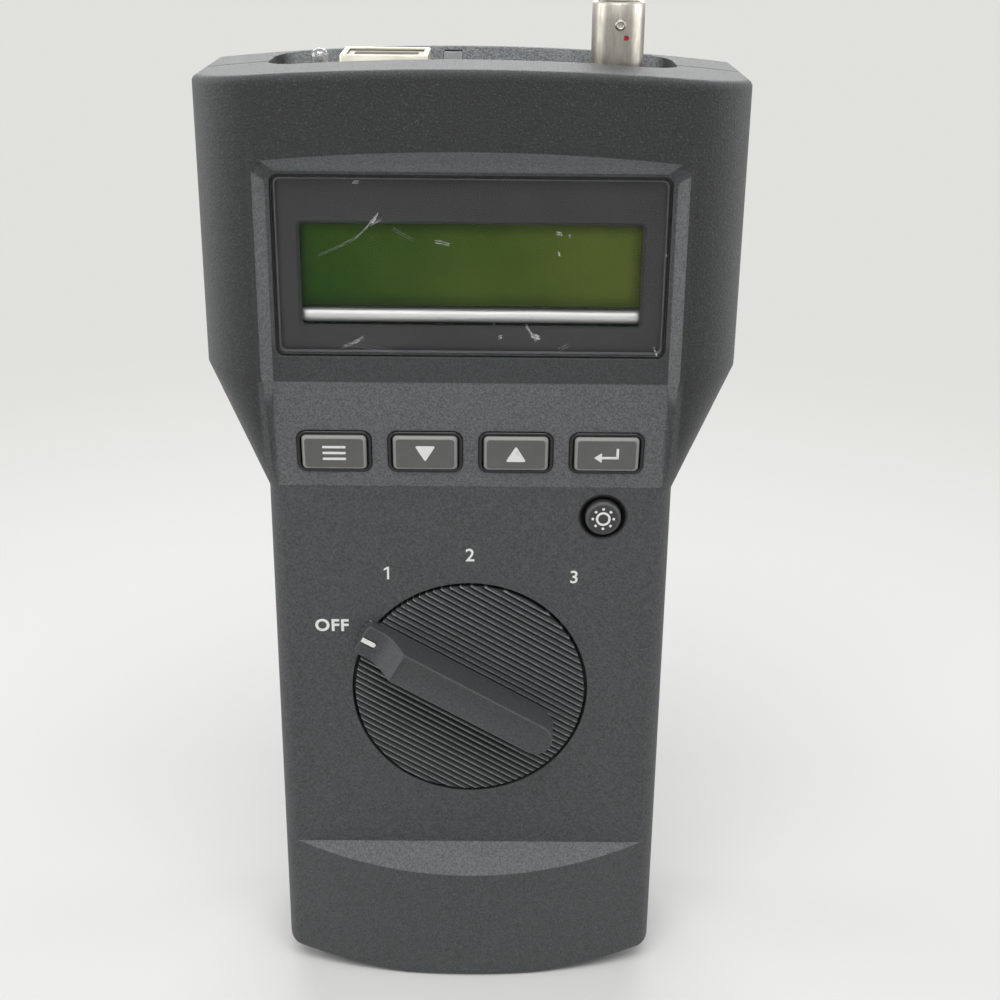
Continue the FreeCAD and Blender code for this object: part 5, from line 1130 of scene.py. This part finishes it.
def bar_skin():
    """Top grid, then its border at growing size and depth: rounded edge, drafted wall, foot."""
    edge, columns = 0.26, 23
    top = bar_grid(edge, columns)
    rows = len(top)
    top_points = np.concatenate([top, bar_rise(top[..., 0], top[..., 1])[..., None]], -1)
    index = np.arange(rows * columns).reshape(rows, columns)
    border = np.concatenate([index[:, -1], index[-1, -2::-1], index[-2::-1, 0], index[0, 1:-1]])
    # inset, drop from the top, and the height over the face where the drop is 0; the rim of the top
    # takes the dish's height from slightly further in
    levels = [(0.14, 0.03, 0.0), (0.05, 0.12, 0.0), (0.0, 0.26, 0.0), (-0.02, 0.45, 0.0),
              (-0.3, 0.0, 0.2), (-0.42, 0.0, -0.4)]
    loops = []
    for inset, drop, floor_height in levels:
        loop = bar_grid(inset, columns).reshape(-1, 2)[border]
        height = bar_rise(0.93 * loop[:, 0], loop[:, 1]) - drop if drop else np.full(len(loop), floor_height)
        loops.append(np.column_stack([loop, height]))
    points = np.concatenate([top_points.reshape(-1, 3)] + loops)
    faces = [face[::-1] for face in grid_faces(rows, columns)]
    rings = [border] + [rows * columns + k * len(border) + np.arange(len(border)) for k in range(len(levels))]
    return points * MM, faces + wall_faces(rings) + [rings[-1].tolist()]


bar_points, bar_faces = bar_skin()
new_piece("knob_bar", knob_seat.lift(bar_points), bar_faces, knob_plastic, "knob", "knob_plastic", 28)

# %% White mark, with a black plate round it as the painted shade of a groove
def tip_mark(wide, length, reach):
    """Outline in millimetres: square at the tip, half round towards the middle."""
    turn = np.linspace(math.pi, 2 * math.pi, 13)
    foot = np.stack([wide / 2 * np.cos(turn), reach - length + wide / 2 + wide / 2 * np.sin(turn)], -1)
    return np.concatenate([foot, [[wide / 2, reach], [-wide / 2, reach]]])


mark_level = pointer_rise * MM
mark_root = mark_level - 0.2 * MM
groove_shade_loop, mark_loop = tip_mark(1.62, 3.6, 24.62) * MM, tip_mark(1.0, 3.05, 24.66) * MM
# painted shade: a flat black plate round the white mark stands in for the shade of a groove
groove_shade = [knob_seat.place(groove_shade_loop, level) for level in (mark_root, mark_level + 0.012 * MM)]
new_piece("mark_groove_shade", *skin(groove_shade), surround_black, "knob", "knob_plastic")
mark = [knob_seat.place(mark_loop, level) for level in (mark_root, mark_level + 0.04 * MM)]
mark_piece = new_piece("white_pointer", *skin(mark), white_mark, "knob", "white_mark")
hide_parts("pointer_mark")

# %% [markdown]
# ## Words and numbers on the face
#
# The knob has an off position and three functions. The functions are numbered. Blender's text object
# gives the letters; it is made a mesh first, then scaled to the height of its capitals and laid on the
# face. The number 1 is a polygon of its own: a plain stem with a short flag.

# %% Printed labels
face_seat = Seat((0, face_y, 0), (0, -1, 0))
capital_height = 2.7


def printed(name, text, x, z, weight):
    """Text mesh centred at x, z on the face, in millimetres; the weight makes its strokes bolder."""
    curve = bpy.data.curves.new(name, "FONT")
    curve.body, curve.size, curve.offset, curve.extrude = text, 1.0, weight, 0.004
    curve.space_character = 1.12
    words = bpy.data.objects.new(name + "_curve", curve)
    bpy.context.scene.collection.objects.link(words)
    bpy.context.view_layer.update()
    mesh = bpy.data.meshes.new_from_object(words.evaluated_get(bpy.context.evaluated_depsgraph_get()))
    bpy.data.objects.remove(words)
    flat = np.empty(len(mesh.vertices) * 3, np.float32)
    mesh.vertices.foreach_get("co", flat)
    flat = flat.reshape(-1, 3)
    low, high = flat.min(0), flat.max(0)
    local = (flat - (low + high) / 2) * (capital_height * MM / (high[1] - low[1]))
    local += np.array([x * MM, z * MM, ink_rise])
    faces = [list(face.vertices) for face in mesh.polygons]
    bpy.data.meshes.remove(mesh)
    return new_piece(name, face_seat.lift(local), faces, white_mark, "case", "white_mark")


labels = [printed("label_off", "OFF", -27.41, 81.39, 0.03), printed("label_2", "2", -0.06, 96.84, 0.012),
          printed("label_3", "3", 20.35, 92.30, 0.012)]
one_seat = Seat((-16.31 * MM, face_y, 92.84 * MM), (0, -1, 0))
one = np.array([[0.0, -1.35], [0.42, -1.35], [0.42, 1.35], [0.08, 1.35], [-0.62, 0.92], [-0.62, 0.52],
                [0.0, 0.86]])
labels.append(sign("label_1", one_seat, [one], "case", ink_rise))
print("labels:", [label.name for label in labels])

# %% [markdown]
# ## Sockets in the top end
#
# The network socket's shell is folded from tinned sheet, so its mouth has a soft inward lip. The coaxial
# socket is turned from brass and plated with nickel. A turned part is one profile, radius against height,
# swung round its axis; the two bayonet lugs are small turned pins across it.

# %% Network socket shell
def top_seat(node):
    """Frame on the top of a node's box, at its middle."""
    centre = middle(node)
    return Seat((centre[0], centre[1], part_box(node)[1].z), (0, 0, 1))


jack_wide, jack_deep, jack_tall = span("jack_shell")
shell_profile = [(0.0, -jack_tall), (0.0, -0.25 * MM), (0.06 * MM, -0.08 * MM), (0.2 * MM, 0.0),
                 (0.75 * MM, -0.02 * MM), (0.95 * MM, -0.12 * MM), (0.95 * MM, -0.42 * MM),
                 (0.75 * MM, -0.5 * MM), (0.3 * MM, -0.55 * MM), (0.3 * MM, -jack_tall)]
shell_loops = rounded_stack(top_seat("jack_shell"), jack_wide, jack_deep, 0.5 * MM, shell_profile,
                            ease=0.5, smallest=0.1 * MM, steps=4)
shell = new_piece("socket_shell", *skin(shell_loops, ring=True), jack_metal, "case", "jack_metal", 30)
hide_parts("jack_shell")

# %% Coaxial socket
coax_middle = middle("coax_body") * (1, 1, 0)
coax_seat = Seat(coax_middle, (0, 0, 1))
top, shelf, floor_level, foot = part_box("coax_body")[1].z / MM, 185.1, 183.5, 174.5
thread_levels = np.arange(foot + 0.3, floor_level - 0.6, 0.35)
thread = [(4.7 - 0.22 * (i % 2), level) for i, level in enumerate(thread_levels)]
barrel = [
    (2.4, foot), (4.3, foot), *thread, (4.5, floor_level), (7.0, floor_level), (7.2, floor_level + 0.2),
    (7.2, shelf - 0.25), (6.95, shelf), (5.25, shelf), (5.0, shelf + 0.12), (4.82, shelf + 0.4),
    (4.82, top - 3.0), (4.82, top - 0.55), (4.74, top - 0.2), (4.55, top), (4.22, top), (4.1, top - 0.14),
    (4.1, shelf), (2.4, shelf),
]
lug_profile = np.array([(0.0, 4.6), (0.98, 4.6), (0.98, 5.48), (0.86, 5.66), (0.62, 5.72), (0.5, 5.62),
                        (0.0, 5.6)]) * MM
parts = [skin(circle_stack(coax_seat, np.array(barrel)[::-1] * MM, 96), ring=True)]
for side in (-1, 1):
    lug_seat = Seat(coax_middle + np.array([0, 0, (top - 3.8) * MM]), (0, side, 0))
    parts.append(skin(circle_stack(lug_seat, lug_profile, 32)))
coax = new_piece("coaxial_socket", *joined(parts), coax_nickel, "case", "coax_nickel", 30)
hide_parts("coax_body")

# %% Pale tab between the sockets
tab_wide, tab_deep, tab_top = 3.7 * MM, 2.4 * MM, 189.9 * MM
tab_seat = Seat((-3.7 * MM, 6.4 * MM, tab_top), (0, 0, 1))
tab_profile = np.array([(-0.05, -6.3), (-0.05, -0.25), (0.0, -0.08), (0.2, 0.0), (0.5, 0.0)]) * MM
tab_loops = rounded_stack(tab_seat, tab_wide, tab_deep, 0.35 * MM, tab_profile)
new_piece("panel_tab", *skin(tab_loops), tab_plastic, "case", "case_plastic", 30)

# %% Red witness mark beside the lug
red_finish = pad_print("witness_red", (0.42, 0.012, 0.02))
dot_angle, dot_level = math.radians(-90 + 14), (top - 6.1) * MM
t = np.arange(16) * 2 * math.pi / 16
dot_turn = dot_angle + 0.10 * np.cos(t) * (1 + 0.25 * np.cos(3 * t))
dot_up = dot_level + 0.55 * MM * np.sin(t) * (1 + 0.2 * np.cos(2 * t))
dot_loops = [coax_middle + np.stack([r * np.cos(dot_turn), r * np.sin(dot_turn), dot_up], -1)
             for r in (4.80 * MM, 4.84 * MM)]
new_piece("witness_mark", *skin(dot_loops), red_finish, "case", "coax_nickel")
